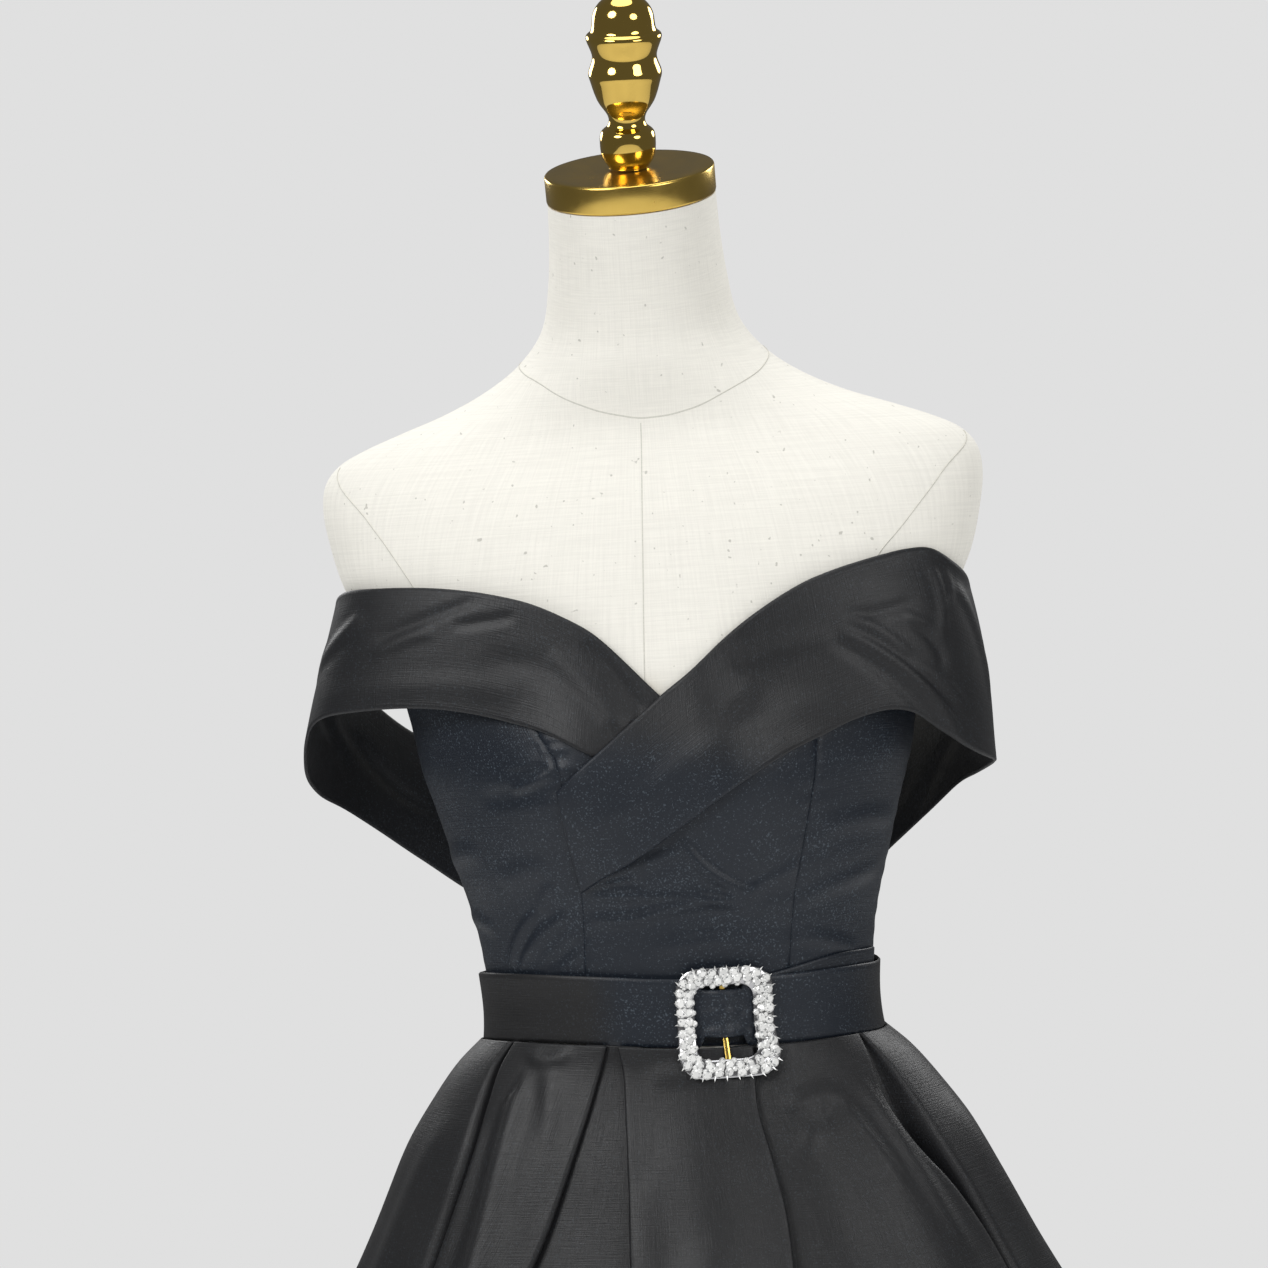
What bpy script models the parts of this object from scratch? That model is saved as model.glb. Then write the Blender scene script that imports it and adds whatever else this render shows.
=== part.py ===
"""Off-shoulder dress on a limbless dress form.

Metres, +Z up. The origin is at the middle of the base's underside, on the floor. The front faces -Y
and the wearer's left is at +X. The tables are in millimetres and degrees: a height counts from the
waist, which is the belt's middle, and an azimuth from the centre front towards the wearer's left.
"""

import math
from collections import namedtuple

import bmesh
import bpy
from mathutils import Matrix, Vector

MM = 0.001
WAIST = 1.02  # metres from the floor to the belt's middle
SEAM_GAP = 0.3  # between two pieces that meet

# Form: horizontal sections of the torso and neck. Shift moves a section forwards, aside to the wearer's
# left, and lean tips it forwards.
FormSection = namedtuple("FormSection", "height half_width front back square shift aside lean")
FORM = (
    FormSection(-245, 138, 78, 96, 2.1, 0, 0, 0),
    FormSection(-225, 155, 92, 113, 2.1, 0, 0, 0),
    FormSection(-180, 159, 96, 117, 2.1, 0, 0, 0),
    FormSection(-120, 150, 90, 106, 2.1, 0, 0, 0),
    FormSection(-60, 131, 81, 89, 2.1, 0, 0, 0),
    FormSection(-21, 119, 76, 78, 2.1, 0, 0, 0),
    FormSection(0, 116.5, 76, 76, 2.1, 0, 0, 0),
    FormSection(22, 117.5, 77, 75.5, 2.1, 0, 0, 0),
    FormSection(50, 121, 81, 76, 2.1, 0, 0, 0),
    FormSection(72, 126, 84.5, 78, 2.1, 0, 0, 0),
    FormSection(93, 132, 88, 80, 2.15, 0, 0, 0),
    FormSection(112, 137, 90, 82.5, 2.15, 0, 0, 0),
    FormSection(133, 143, 91.5, 85.5, 2.15, 0, 0, 0),
    FormSection(155, 149.5, 92, 88, 2.2, 0, 0, 0),
    FormSection(175, 153, 92, 90.5, 2.2, 0, 0, 0),
    FormSection(195, 157, 91, 93, 2.2, 0, 0, 0),
    FormSection(215, 163, 89, 95, 2.2, 0, 0, 0),
    FormSection(245, 181, 84, 96, 2.2, 0, 0, 0),
    FormSection(273, 195, 79, 95, 2.2, 0, 0, 0),
    FormSection(304, 203, 72, 92, 2.2, 0, 0, 0),
    FormSection(323, 205, 66, 89, 2.2, 0, 0, 0),
    FormSection(338, 202, 60, 86, 2.2, 0, 0, 0),
    FormSection(349, 192, 56, 83, 2.2, 0, 0, 0),
    FormSection(357, 176, 54, 80, 2.2, 0, 0, 0),
    FormSection(366, 152, 53, 77, 2.1, 1, 0, 1),
    FormSection(376, 124, 54, 72, 2.0, 2, 0, 2),
    FormSection(389, 97, 55, 65, 2.0, 4, 0.2, 4),
    FormSection(404, 76, 55, 58, 2.0, 7, 0.6, 7),
    FormSection(423.5, 61, 53, 54, 2.0, 11, 1, 11),
    FormSection(450, 55, 52, 53, 2.0, 18, 1.6, 15),
    FormSection(477, 52.2, 51.6, 51.6, 2.0, 27, 2.1, 17),
    FormSection(499.5, 51.2, 51.2, 51.2, 2.0, 35, 2.5, 18.5),
)
FORM_SIDES = 32
BUST_AZIMUTH = 27.0
BUST_HEIGHT = 150.0
BUST_OUT = 16.0
BUST_SPREAD = 22.0
BUST_RISE = 50.0

# Neck cap, finial, pole and base, as turned profiles of (radius, height).
CAP_RADIUS = 51.7
CAP_HEIGHT = 17.0
CAP_EDGE = 1.5
FinialRing = namedtuple("FinialRing", "radius below_top")
FINIAL_HEIGHT = 105.0
FINIAL_LEAN_ASIDE = 2.8
FINIAL = (
    FinialRing(8.6, 1.9),
    FinialRing(14.4, 6.1),
    FinialRing(18.0, 12.2),
    FinialRing(19.5, 21.6),
    FinialRing(22.8, 26.2),
    FinialRing(19.4, 37.5),
    FinialRing(22.0, 46.9),
    FinialRing(21.1, 52.5),
    FinialRing(17.4, 63.8),
    FinialRing(11.6, 73.1),
    FinialRing(11.6, 78.8),
    FinialRing(16.1, 83.4),
    FinialRing(16.9, 90.9),
    FinialRing(15.8, 98.4),
    FinialRing(12.1, 104.5),
)
POLE_RADIUS = 13.0
FLANGE_RADIUS = 42.0
FLANGE_HEIGHT = 7.0
BASE_RADIUS = 180.0
BASE_EDGE = 16.0
BASE_TOP = 46.0
BOSS_RADIUS = 24.0

# Bodice: walls over the form, between seams. Heights of the upper edge by azimuth.
BODICE_INNER = 1.2
BODICE_OUTER = 2.6
BODICE_BOTTOM = -20.0
TopEdge = namedtuple("TopEdge", "azimuth height")
BODICE_TOP = (
    TopEdge(-180, 62),
    TopEdge(-150, 80),
    TopEdge(-130, 115),
    TopEdge(-115, 150),
    TopEdge(-104, 182),
    TopEdge(-90, 210),
    TopEdge(-60, 225),
    TopEdge(-35, 213),
    TopEdge(-16, 190),
    TopEdge(0, 160),
    TopEdge(20, 168),
    TopEdge(35, 188),
    TopEdge(60, 218),
    TopEdge(90, 210),
    TopEdge(104, 182),
    TopEdge(115, 150),
    TopEdge(130, 115),
    TopEdge(150, 80),
    TopEdge(180, 62),
)
PrincessSeam = namedtuple("PrincessSeam", "height right left")
PRINCESS = (
    PrincessSeam(-20, -39, 47),
    PrincessSeam(35, -34.6, 48),
    PrincessSeam(60, -32.2, 48),
    PrincessSeam(85, -29.7, 47.8),
    PrincessSeam(117, -27.5, 48.6),
    PrincessSeam(145, -27.0, 49.6),
    PrincessSeam(165, -29.5, 50.2),
    PrincessSeam(185, -36.6, 51),
    PrincessSeam(225, -48, 52),
)
SIDE_SEAM = 89.0

# Off-shoulder bands: double cloth from the centre back round the arm to the front.
BAND_THICKNESS = 2.2
BAND_ON_BODICE = 3.6
BAND_ON_FORM = 1.4
BAND_ON_BAND = 6.8
BAND_TUCKED = 3.3
ArmLoop = namedtuple("ArmLoop", "height right left front back")
ARM_LOOP = (
    ArmLoop(24, 236, 205, 78, 92),
    ArmLoop(100, 234, 203, 88, 105),
    ArmLoop(150, 229, 201, 92, 110),
    ArmLoop(200, 217, 199, 92, 110),
    ArmLoop(255, 200, 190, 88, 104),
    ArmLoop(280, 193, 180, 82, 100),
)
ARM_LOOP_SQUARE = 2.4
ARM_LOOP_BLEND = 8.0
BandEdge = namedtuple("BandEdge", "azimuth bottom top")
BAND_RIGHT = (
    BandEdge(-180, 24, 95),
    BandEdge(-160, 27, 103),
    BandEdge(-145, 34, 118),
    BandEdge(-130, 50, 140),
    BandEdge(-122, 68, 158),
    BandEdge(-115, 93, 175),
    BandEdge(-109, 115, 193),
    BandEdge(-104, 130, 208),
    BandEdge(-98, 142, 228),
    BandEdge(-92, 157, 248),
    BandEdge(-87, 176, 261),
    BandEdge(-82, 190, 268),
    BandEdge(-75, 197, 270.5),
    BandEdge(-60, 199, 268.6),
    BandEdge(-42, 188, 259),
    BandEdge(-30, 180, 248.5),
    BandEdge(-17, 166, 233.8),
    BandEdge(4, 145, 198),
    BandEdge(12, 137, 184),
)
BAND_LEFT = (
    BandEdge(-28, 84.5, 145.5),
    BandEdge(-18, 94, 163),
    BandEdge(-8, 103, 180),
    BandEdge(4, 116.5, 198),
    BandEdge(14, 129.5, 211),
    BandEdge(25, 145.4, 227),
    BandEdge(36.5, 158.7, 243),
    BandEdge(49, 170, 259),
    BandEdge(56.5, 179, 266),
    BandEdge(62.5, 182.7, 270.5),
    BandEdge(67, 179, 273.5),
    BandEdge(71, 168, 275.5),
    BandEdge(75, 158, 275),
    BandEdge(80, 150, 266),
    BandEdge(86, 145, 256),
    BandEdge(92, 142, 245),
    BandEdge(98, 138, 228),
    BandEdge(104, 132, 208),
    BandEdge(109, 125, 193),
    BandEdge(115, 108, 175),
    BandEdge(122, 86, 158),
    BandEdge(130, 60, 140),
    BandEdge(145, 34, 118),
    BandEdge(160, 27, 103),
    BandEdge(180, 24, 95),
)
BAND_ROWS = 5
BAND_STEP = 6.4

# The belt's middle line rises above the waist by a little, the most at the wearer's right front.
BeltRise = namedtuple("BeltRise", "azimuth rise")
BELT_RISE = (
    BeltRise(-180, 4),
    BeltRise(-130, 4),
    BeltRise(-95, 5.5),
    BeltRise(-75, 10),
    BeltRise(-55, 12),
    BeltRise(-30, 11),
    BeltRise(0, 8),
    BeltRise(45, 6),
    BeltRise(66, 5.5),
    BeltRise(90, 3),
    BeltRise(130, 3.5),
    BeltRise(180, 4),
)
RISE_FADES_BY = 110.0  # mm below the belt

# Belt with its tail and buckle.
BELT_HALF_HEIGHT = 20.0
BELT_INNER = 5.4
BELT_OUTER = 7.4
BELT_STEP = 5.0
TAIL_INNER = 3.4
TAIL_OUTER = 4.8
TAIL_START = 12.0
TAIL_END = 84.0
TAIL_RISE = 11.0
BUCKLE_AZIMUTH = 21.0
BUCKLE_HEIGHT = -5.0  # from the belt's middle line
BUCKLE_HALF_WIDTH = 29.0
BUCKLE_HALF_HEIGHT = 34.0
BUCKLE_CORNER = 15.0
BUCKLE_RIM = 12.0
BUCKLE_OFF_BELT = 1.0
BUCKLE_THICKNESS = 4.4
BUCKLE_FLARE_FROM = 8.0
BUCKLE_FLARE = 0.32
BAR_HALF_WIDTH = 1.5
BAR_THICKNESS = 1.2
HUMP = 4.6
HUMP_REACH = 16.0
PINCH = 6.6
PINCH_FULL_AT = 0.22  # of the hump

# Skirt: the smooth cone that the pleats are laid on, and the pleats' edges by height.
SKIRT_WALL = 1.4
SkirtSection = namedtuple("SkirtSection", "height half_width front back crown")
SKIRT = (
    SkirtSection(-21, 126, 86.5, 87, 0),
    SkirtSection(-35, 141, 88, 94, 0.5),
    SkirtSection(-55, 156.5, 95, 105, 1.5),
    SkirtSection(-80, 173, 106, 118, 3),
    SkirtSection(-110, 187.5, 118, 131, 4),
    SkirtSection(-150, 204.5, 134, 147, 6),
    SkirtSection(-220, 238, 162, 176, 9),
    SkirtSection(-330, 284, 201, 216, 12),
    SkirtSection(-470, 332, 243, 258, 15),
    SkirtSection(-610, 370, 277, 293, 18),
    SkirtSection(-735, 396, 300, 317, 20),
)
SKIRT_SQUARE = 2.05
# A pleat's edge laps over the next panel by overlap, its layers lie layer apart, and the cloth that
# comes out under it climbs back to the cone over climb.
PleatSize = namedtuple("PleatSize", "height overlap layer climb")
PLEAT_SIZE = (
    PleatSize(-21, 13, 2.1, 20),
    PleatSize(-55, 16, 2.5, 26),
    PleatSize(-110, 20, 3.6, 34),
    PleatSize(-220, 24, 6.5, 48),
    PleatSize(-330, 24, 9, 60),
    PleatSize(-470, 22, 12, 75),
    PleatSize(-735, 20, 16, 95),
)
PleatEdges = namedtuple("PleatEdges", "height panel_right panel_left front_knife back_knife back_a back_b")
PLEAT_EDGES = (
    PleatEdges(-21, -26.2, -21.0, 31, 122, 151, 157),
    PleatEdges(-35, -28.2, -19.0, 30.2, 121, 150, 158.5),
    PleatEdges(-55, -30.2, -17.2, 28.8, 120, 149, 160),
    PleatEdges(-80, -32.6, -15.2, 29.5, 120, 148, 162),
    PleatEdges(-110, -35.5, -13.5, 30.0, 120, 147, 163.5),
    PleatEdges(-150, -39.2, -12.0, 28.6, 120, 146, 165),
    PleatEdges(-220, -41, -10.6, 28, 120, 144, 166),
    PleatEdges(-330, -41.5, -9.6, 27, 120, 143, 167),
    PleatEdges(-735, -41, -9, 26, 120, 142, 168),
)
# The hip folds, one to each side of the front, are deep valleys between two rounded lips.
HipFold = namedtuple("HipFold", "height right left mouth_right mouth_left depth lip")
HIP_FOLDS = (
    HipFold(-21, -61.5, 69.3, 2.8, 2.8, 4, 1.2),
    HipFold(-35, -63.2, 68.8, 5, 10, 9.5, 2),
    HipFold(-55, -62.5, 68.2, 6, 18, 17, 3),
    HipFold(-80, -61.2, 69, 4.5, 17, 24, 4),
    HipFold(-110, -61.5, 72.6, 3.4, 9, 29, 5),
    HipFold(-150, -62, 75, 3.6, 4.5, 30, 6),
    HipFold(-220, -63, 75, 7, 7, 30, 8),
    HipFold(-330, -64, 74, 14, 14, 31, 10),
    HipFold(-735, -66, 73, 34, 34, 38, 14),
)

Colour = namedtuple("Colour", "name rgb roughness metallic")
SATIN = Colour("satin", (0.018, 0.021, 0.027), 0.38, 0.0)
LINEN = Colour("linen", (0.80, 0.78, 0.71), 0.85, 0.0)
GOLD = Colour("gold", (0.80, 0.58, 0.16), 0.12, 1.0)
CRYSTAL = Colour("crystal", (0.72, 0.73, 0.75), 0.15, 0.8)


def clear_scene():
    for obj in list(bpy.data.objects):
        bpy.data.objects.remove(obj)


def material(colour):
    found = bpy.data.materials.get(colour.name)
    if found:
        return found
    made = bpy.data.materials.new(colour.name)
    made.use_nodes = True
    shader = made.node_tree.nodes["Principled BSDF"]
    shader.inputs["Base Color"].default_value = (*colour.rgb, 1.0)
    shader.inputs["Roughness"].default_value = colour.roughness
    shader.inputs["Metallic"].default_value = colour.metallic
    made.diffuse_color = (*colour.rgb, 1.0)
    return made


def between(rows, at):
    """The table's row at a place between its rows, on a smooth curve. The first column is the place."""
    if at <= rows[0][0]:
        return rows[0]
    if at >= rows[-1][0]:
        return rows[-1]
    last = len(rows) - 1
    i = next(k for k in range(last) if rows[k][0] <= at <= rows[k + 1][0])
    here, after = rows[i], rows[i + 1]
    before, beyond = rows[max(i - 1, 0)], rows[min(i + 2, last)]
    span = after[0] - here[0]
    t = (at - here[0]) / span
    values = []
    for a, b, p, q in zip(here, after, before, beyond):
        slope_a = (b - p) / (after[0] - before[0]) * span
        slope_b = (q - a) / (beyond[0] - here[0]) * span
        values.append(
            (2 * t**3 - 3 * t**2 + 1) * a
            + (t**3 - 2 * t**2 + t) * slope_a
            + (3 * t**2 - 2 * t**3) * b
            + (t**3 - t**2) * slope_b
        )
    return type(here)(*values)


def rising(rows):
    """A table whose heights run downwards, turned round for between()."""
    return tuple(sorted(rows))


def smooth_step(t):
    t = min(max(t, 0.0), 1.0)
    return t * t * (3 - 2 * t)


def mix(a, b, t):
    return a + (b - a) * t


def oval(azimuth, half_width, front, back, square):
    """Radius of a rounded section whose front and back reach different depths."""
    across = abs(math.sin(math.radians(azimuth)))
    ahead = math.cos(math.radians(azimuth))
    depth = front if ahead > 0 else back
    return ((across / half_width) ** square + (abs(ahead) / depth) ** square) ** (-1 / square)


def bust(azimuth, height):
    level = math.exp(-(((height - BUST_HEIGHT) / BUST_RISE) ** 2))
    mounds = sum(
        math.exp(-(((azimuth - side * BUST_AZIMUTH) / BUST_SPREAD) ** 2)) for side in (-1, 1)
    )
    return BUST_OUT * mounds * level


def form_radius(azimuth, height):
    s = between(FORM, height)
    return oval(azimuth, s.half_width, s.front, s.back, s.square) + bust(azimuth, height)


def world(azimuth, radius, height):
    """Metres from an azimuth in degrees, a radius and a height from the waist in millimetres."""
    a = math.radians(azimuth)
    return Vector((radius * math.sin(a) * MM, -radius * math.cos(a) * MM, WAIST + height * MM))


def degrees_of(length, radius):
    return math.degrees(length / radius)


def add_mesh(name, points, faces, colour, auto_smooth=40.0):
    """A closed object with its faces pointing out, shaded smooth but for its sharp edges."""
    shape = bmesh.new()
    verts = [shape.verts.new(p) for p in points]
    for face in faces:
        shape.faces.new([verts[i] for i in face])
    bmesh.ops.recalc_face_normals(shape, faces=shape.faces)
    mesh = bpy.data.meshes.new(name)
    shape.to_mesh(mesh)
    shape.free()
    mesh.shade_smooth()
    mesh.set_sharp_from_angle(angle=math.radians(auto_smooth))
    mesh.materials.append(material(colour))
    obj = bpy.data.objects.new(name, mesh)
    bpy.context.scene.collection.objects.link(obj)
    return obj


def sheet_faces(rows, columns, start, ring):
    """Triangles of a grid of points, the same diagonal everywhere."""
    faces = []
    for i in range(rows - 1):
        for j in range(columns if ring else columns - 1):
            k = (j + 1) % columns
            a = start + i * columns + j
            b = start + i * columns + k
            c = start + (i + 1) * columns + k
            d = start + (i + 1) * columns + j
            faces += [(a, b, c), (a, c, d)]
    return faces


def add_wall(name, outer, inner, colour, ring=False):
    """A closed wall between two grids of points, with rims along its free edges."""
    rows, columns = len(outer), len(outer[0])
    back = rows * columns
    points = [p for row in outer for p in row] + [p for row in inner for p in row]
    faces = sheet_faces(rows, columns, 0, ring)
    faces += [tuple(reversed(f)) for f in sheet_faces(rows, columns, back, ring)]
    edge = [(0, j) for j in range(columns)]
    rims = [edge, [(rows - 1, j) for j in range(columns)]]
    if ring:
        rims = [line + [line[0]] for line in rims]
    else:
        rims += [[(i, 0) for i in range(rows)], [(i, columns - 1) for i in range(rows)]]
    for line in rims:
        for (i, j), (k, m) in zip(line, line[1:]):
            a, b = i * columns + j, k * columns + m
            faces += [(a, b, b + back), (a, b + back, a + back)]
    return add_mesh(name, points, faces, colour)


def add_turned(name, profile, sides, colour, place=Matrix.Identity(4)):
    """A turned body from (radius, height) pairs, bottom first, closed at the axis at both ends."""
    points = [place @ Vector((0, 0, profile[0][1] * MM))]
    for radius, height in profile:
        for k in range(sides):
            a = math.tau * k / sides
            points.append(place @ Vector((radius * MM * math.cos(a), radius * MM * math.sin(a), height * MM)))
    points.append(place @ Vector((0, 0, profile[-1][1] * MM)))
    faces = sheet_faces(len(profile), sides, 1, True)
    top = 1 + (len(profile) - 1) * sides
    for k in range(sides):
        n = (k + 1) % sides
        faces.append((0, 1 + n, 1 + k))
        faces.append((len(points) - 1, top + k, top + n))
    return add_mesh(name, points, faces, colour)


def tipped(radius, azimuth, section):
    """A point of a form section, moved and tipped as the section says."""
    a = math.radians(azimuth)
    lean = math.radians(section.lean)
    ahead = radius * math.cos(a)
    return Vector(
        (
            (section.aside + radius * math.sin(a)) * MM,
            -(section.shift + ahead * math.cos(lean)) * MM,
            WAIST + (section.height - ahead * math.sin(lean)) * MM,
        )
    )


def build_form():
    points = []
    for section in FORM:
        for k in range(FORM_SIDES):
            azimuth = 360 * k / FORM_SIDES
            turned = azimuth - 360 if azimuth > 180 else azimuth
            radius = oval(turned, section.half_width, section.front, section.back, section.square)
            points.append(tipped(radius + bust(turned, section.height), azimuth, section))
    faces = sheet_faces(len(FORM), FORM_SIDES, 0, True)
    top = (len(FORM) - 1) * FORM_SIDES
    first, last = FORM[0], FORM[-1]
    points.append(tipped(0, 0, first))
    points.append(tipped(0, 0, last))
    for k in range(FORM_SIDES):
        n = (k + 1) % FORM_SIDES
        faces.append((len(points) - 2, n, k))
        faces.append((len(points) - 1, top + k, top + n))
    add_mesh("form_torso", points, faces, LINEN, 50.0)


def neck_frame(up):
    """Where the neck's tipped top lies, raised along its own axis."""
    last = FORM[-1]
    tip = Matrix.Rotation(math.radians(last.lean), 4, "X")
    middle = (last.aside * MM, -last.shift * MM, WAIST + last.height * MM)
    place = Matrix.Translation(middle) @ tip
    return place @ Matrix.Translation((0, 0, up * MM))


def build_stand():
    e = CAP_EDGE
    cap = [
        (CAP_RADIUS - e, 0),
        (CAP_RADIUS, e),
        (CAP_RADIUS, CAP_HEIGHT - e),
        (CAP_RADIUS - e, CAP_HEIGHT),
    ]
    add_turned("form_neck_cap", cap, FORM_SIDES, GOLD, neck_frame(SEAM_GAP))
    knob = [(r.radius, FINIAL_HEIGHT - r.below_top) for r in reversed(FINIAL)]
    knob = [(FINIAL[-1].radius, 0), *knob, (3, FINIAL_HEIGHT)]
    lean = math.radians(FINIAL_LEAN_ASIDE)
    foot = CAP_HEIGHT + 2 * SEAM_GAP + FINIAL[-1].radius * math.sin(lean)
    add_turned("form_finial", knob, 16, GOLD, neck_frame(foot) @ Matrix.Rotation(lean, 4, "Y"))
    floor = -WAIST / MM
    flange_top = FORM[0].height - SEAM_GAP
    pole = [
        (POLE_RADIUS, floor + BASE_TOP + SEAM_GAP),
        (POLE_RADIUS, flange_top - FLANGE_HEIGHT - 6),
        (POLE_RADIUS + 5, flange_top - FLANGE_HEIGHT),
        (FLANGE_RADIUS, flange_top - FLANGE_HEIGHT + 2),
        (FLANGE_RADIUS, flange_top),
    ]
    add_turned("form_pole", pole, 20, GOLD, Matrix.Translation((0, 0, WAIST)))
    base = [
        (BASE_RADIUS - 2, 0),
        (BASE_RADIUS, 2),
        (BASE_RADIUS, BASE_EDGE - 5),
        (BASE_RADIUS - 5, BASE_EDGE),
        (BASE_RADIUS * 0.5, BASE_EDGE + 5),
        (BOSS_RADIUS + 14, BASE_EDGE + 8),
        (BOSS_RADIUS, BASE_EDGE + 16),
        (BOSS_RADIUS, BASE_TOP - 3),
        (BOSS_RADIUS - 3, BASE_TOP),
    ]
    add_turned("form_base", base, 30, GOLD)


def bodice_top(azimuth):
    return between(BODICE_TOP, azimuth).height


def belt_rise(azimuth):
    return between(BELT_RISE, azimuth).rise


def build_panel(name, right_seam, left_seam, columns, rows):
    """A bodice panel between two seams, each a function of height that gives an azimuth."""
    outer = [[] for _ in range(rows + 1)]
    inner = [[] for _ in range(rows + 1)]
    for j in range(columns + 1):
        t = j / columns
        top = bodice_top(mix(right_seam(0), left_seam(0), t))
        for _ in range(6):
            top = bodice_top(mix(right_seam(top), left_seam(top), t))
        for i in range(rows + 1):
            bottom = BODICE_BOTTOM + belt_rise(mix(right_seam(0), left_seam(0), t))
            height = mix(bottom, top, i / rows)
            azimuth = mix(right_seam(height), left_seam(height), t)
            radius = form_radius(azimuth, height)
            azimuth += degrees_of(SEAM_GAP / 2, radius) * (1 - 2 * t)
            outer[i].append(world(azimuth, radius + BODICE_OUTER, height))
            inner[i].append(world(azimuth, radius + BODICE_INNER, height))
    add_wall(name, outer, inner, SATIN)


def princess_right(height):
    return between(PRINCESS, height).right


def princess_left(height):
    return between(PRINCESS, height).left


def build_bodice():
    build_panel("bodice_front_centre", princess_right, princess_left, 11, 12)
    build_panel("bodice_front_side_right", lambda h: -SIDE_SEAM, princess_right, 8, 12)
    build_panel("bodice_front_side_left", princess_left, lambda h: SIDE_SEAM, 6, 12)
    build_panel("bodice_back_right", lambda h: -180.0, lambda h: -SIDE_SEAM, 13, 11)
    build_panel("bodice_back_left", lambda h: SIDE_SEAM, lambda h: 180.0, 13, 11)


def band_radius(azimuth, height, off_form):
    """The band's inner face: close to the body in front, and round the arm at the side."""
    loop = between(ARM_LOOP, height)
    side = loop.left if azimuth > 0 else loop.right
    near = form_radius(azimuth, height) + off_form
    far = oval(azimuth, side, loop.front, loop.back, ARM_LOOP_SQUARE)
    blend = max(ARM_LOOP_BLEND - abs(near - far), 0) / ARM_LOOP_BLEND
    return max(near, far) + blend * blend * ARM_LOOP_BLEND / 4


def over_bodice(azimuth, height, on_bodice):
    """Distance from the form: over the bodice, and down onto the form above the bodice's edge."""
    above = height - bodice_top(azimuth)
    return mix(on_bodice, BAND_ON_FORM, smooth_step((above - 4) / 16))


def right_off_form(azimuth, height):
    return over_bodice(azimuth, height, BAND_ON_BODICE)


def left_off_form(azimuth, height):
    """The left band rises over the right band where they cross, and is tucked in at its front end."""
    if azimuth < -18:
        return mix(BAND_TUCKED, BAND_ON_BAND, smooth_step((azimuth + 28) / 10))
    crossing = 1 - smooth_step((azimuth - 14) / 20)
    plain = over_bodice(azimuth, height, BAND_ON_BODICE)
    return mix(plain, BAND_ON_BAND, crossing)


def steps_between(first, last, longest):
    count = math.ceil(abs(last - first) / longest)
    return [mix(first, last, k / count) for k in range(count + 1)]


def build_band(name, edges, azimuths, off_form):
    outer = [[] for _ in range(BAND_ROWS + 1)]
    inner = [[] for _ in range(BAND_ROWS + 1)]
    for azimuth in azimuths:
        edge = between(edges, azimuth)
        for i in range(BAND_ROWS + 1):
            height = mix(edge.bottom, edge.top, i / BAND_ROWS)
            radius = band_radius(azimuth, height, off_form(azimuth, height))
            outer[i].append(world(azimuth, radius + BAND_THICKNESS, height))
            inner[i].append(world(azimuth, radius, height))
    add_wall(name, outer, inner, SATIN)


def build_bands():
    half_gap = degrees_of(SEAM_GAP / 2, ARM_LOOP[0].back)
    build_band("band_right", BAND_RIGHT, steps_between(-180 + half_gap, 12, BAND_STEP), right_off_form)
    front = [-28, -24.5, -21, -18, -12, -6, 0, 6, 12]
    rest = steps_between(18, 180 - half_gap, BAND_STEP)
    build_band("band_left", BAND_LEFT, front + rest, left_off_form)


def belt_hump(azimuth):
    """How far the belt climbs over the buckle's bar, from 0 beside the bar to 1 on it."""
    radius = form_radius(BUCKLE_AZIMUTH, 0) + BELT_OUTER
    away = abs(math.radians(azimuth - BUCKLE_AZIMUTH)) * radius
    return math.cos(math.pi / 2 * min(away / HUMP_REACH, 1)) ** 2


def buckle_flare(level):
    """The buckle bends outwards below the belt's middle line, over the top of the skirt."""
    return BUCKLE_FLARE * max(0.0, -level - BUCKLE_FLARE_FROM)


def belt_azimuths():
    near = [BUCKLE_AZIMUTH + 3 * k for k in range(-4, 5)]
    rest = steps_between(near[-1], near[0] + 360, BELT_STEP)[1:-1]
    return [a - 360 if a > 180 else a for a in near + rest]


def build_belt():
    rows = 2
    outer = [[] for _ in range(rows + 1)]
    inner = [[] for _ in range(rows + 1)]
    for azimuth in belt_azimuths():
        hump = belt_hump(azimuth)
        half = BELT_HALF_HEIGHT - PINCH * smooth_step(hump / PINCH_FULL_AT)
        for i in range(rows + 1):
            level = mix(-half, half, i / rows)
            height = level + belt_rise(azimuth)
            radius = form_radius(azimuth, height) + (HUMP + buckle_flare(level)) * hump
            outer[i].append(world(azimuth, radius + BELT_OUTER, height))
            inner[i].append(world(azimuth, radius + BELT_INNER, height))
    add_wall("belt", outer, inner, SATIN, ring=True)


def build_tail():
    rows = 3
    outer = [[] for _ in range(rows + 1)]
    inner = [[] for _ in range(rows + 1)]
    for azimuth in steps_between(TAIL_START, TAIL_END, BELT_STEP):
        top = BELT_HALF_HEIGHT - 2 + TAIL_RISE * smooth_step((azimuth - 25) / 45)
        for i in range(rows + 1):
            height = mix(-14, top, i / rows) + belt_rise(azimuth)
            radius = form_radius(azimuth, height)
            outer[i].append(world(azimuth, radius + TAIL_OUTER, height))
            inner[i].append(world(azimuth, radius + TAIL_INNER, height))
    add_wall("belt_tail", outer, inner, SATIN)


def buckle_point(along, level, out):
    """A point of the buckle: along is mm to the wearer's left of its middle, level is mm above the belt's
    middle line there, and out is mm off its back."""
    around = form_radius(BUCKLE_AZIMUTH, 0) + BELT_OUTER
    azimuth = BUCKLE_AZIMUTH + degrees_of(along, around)
    rise = belt_rise(BUCKLE_AZIMUTH)
    on_belt = min(max(level, -BELT_HALF_HEIGHT), BELT_HALF_HEIGHT)
    radius = form_radius(azimuth, on_belt + rise) + BELT_OUTER + BUCKLE_OFF_BELT
    return world(azimuth, radius + buckle_flare(level) + out, level + rise)


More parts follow.
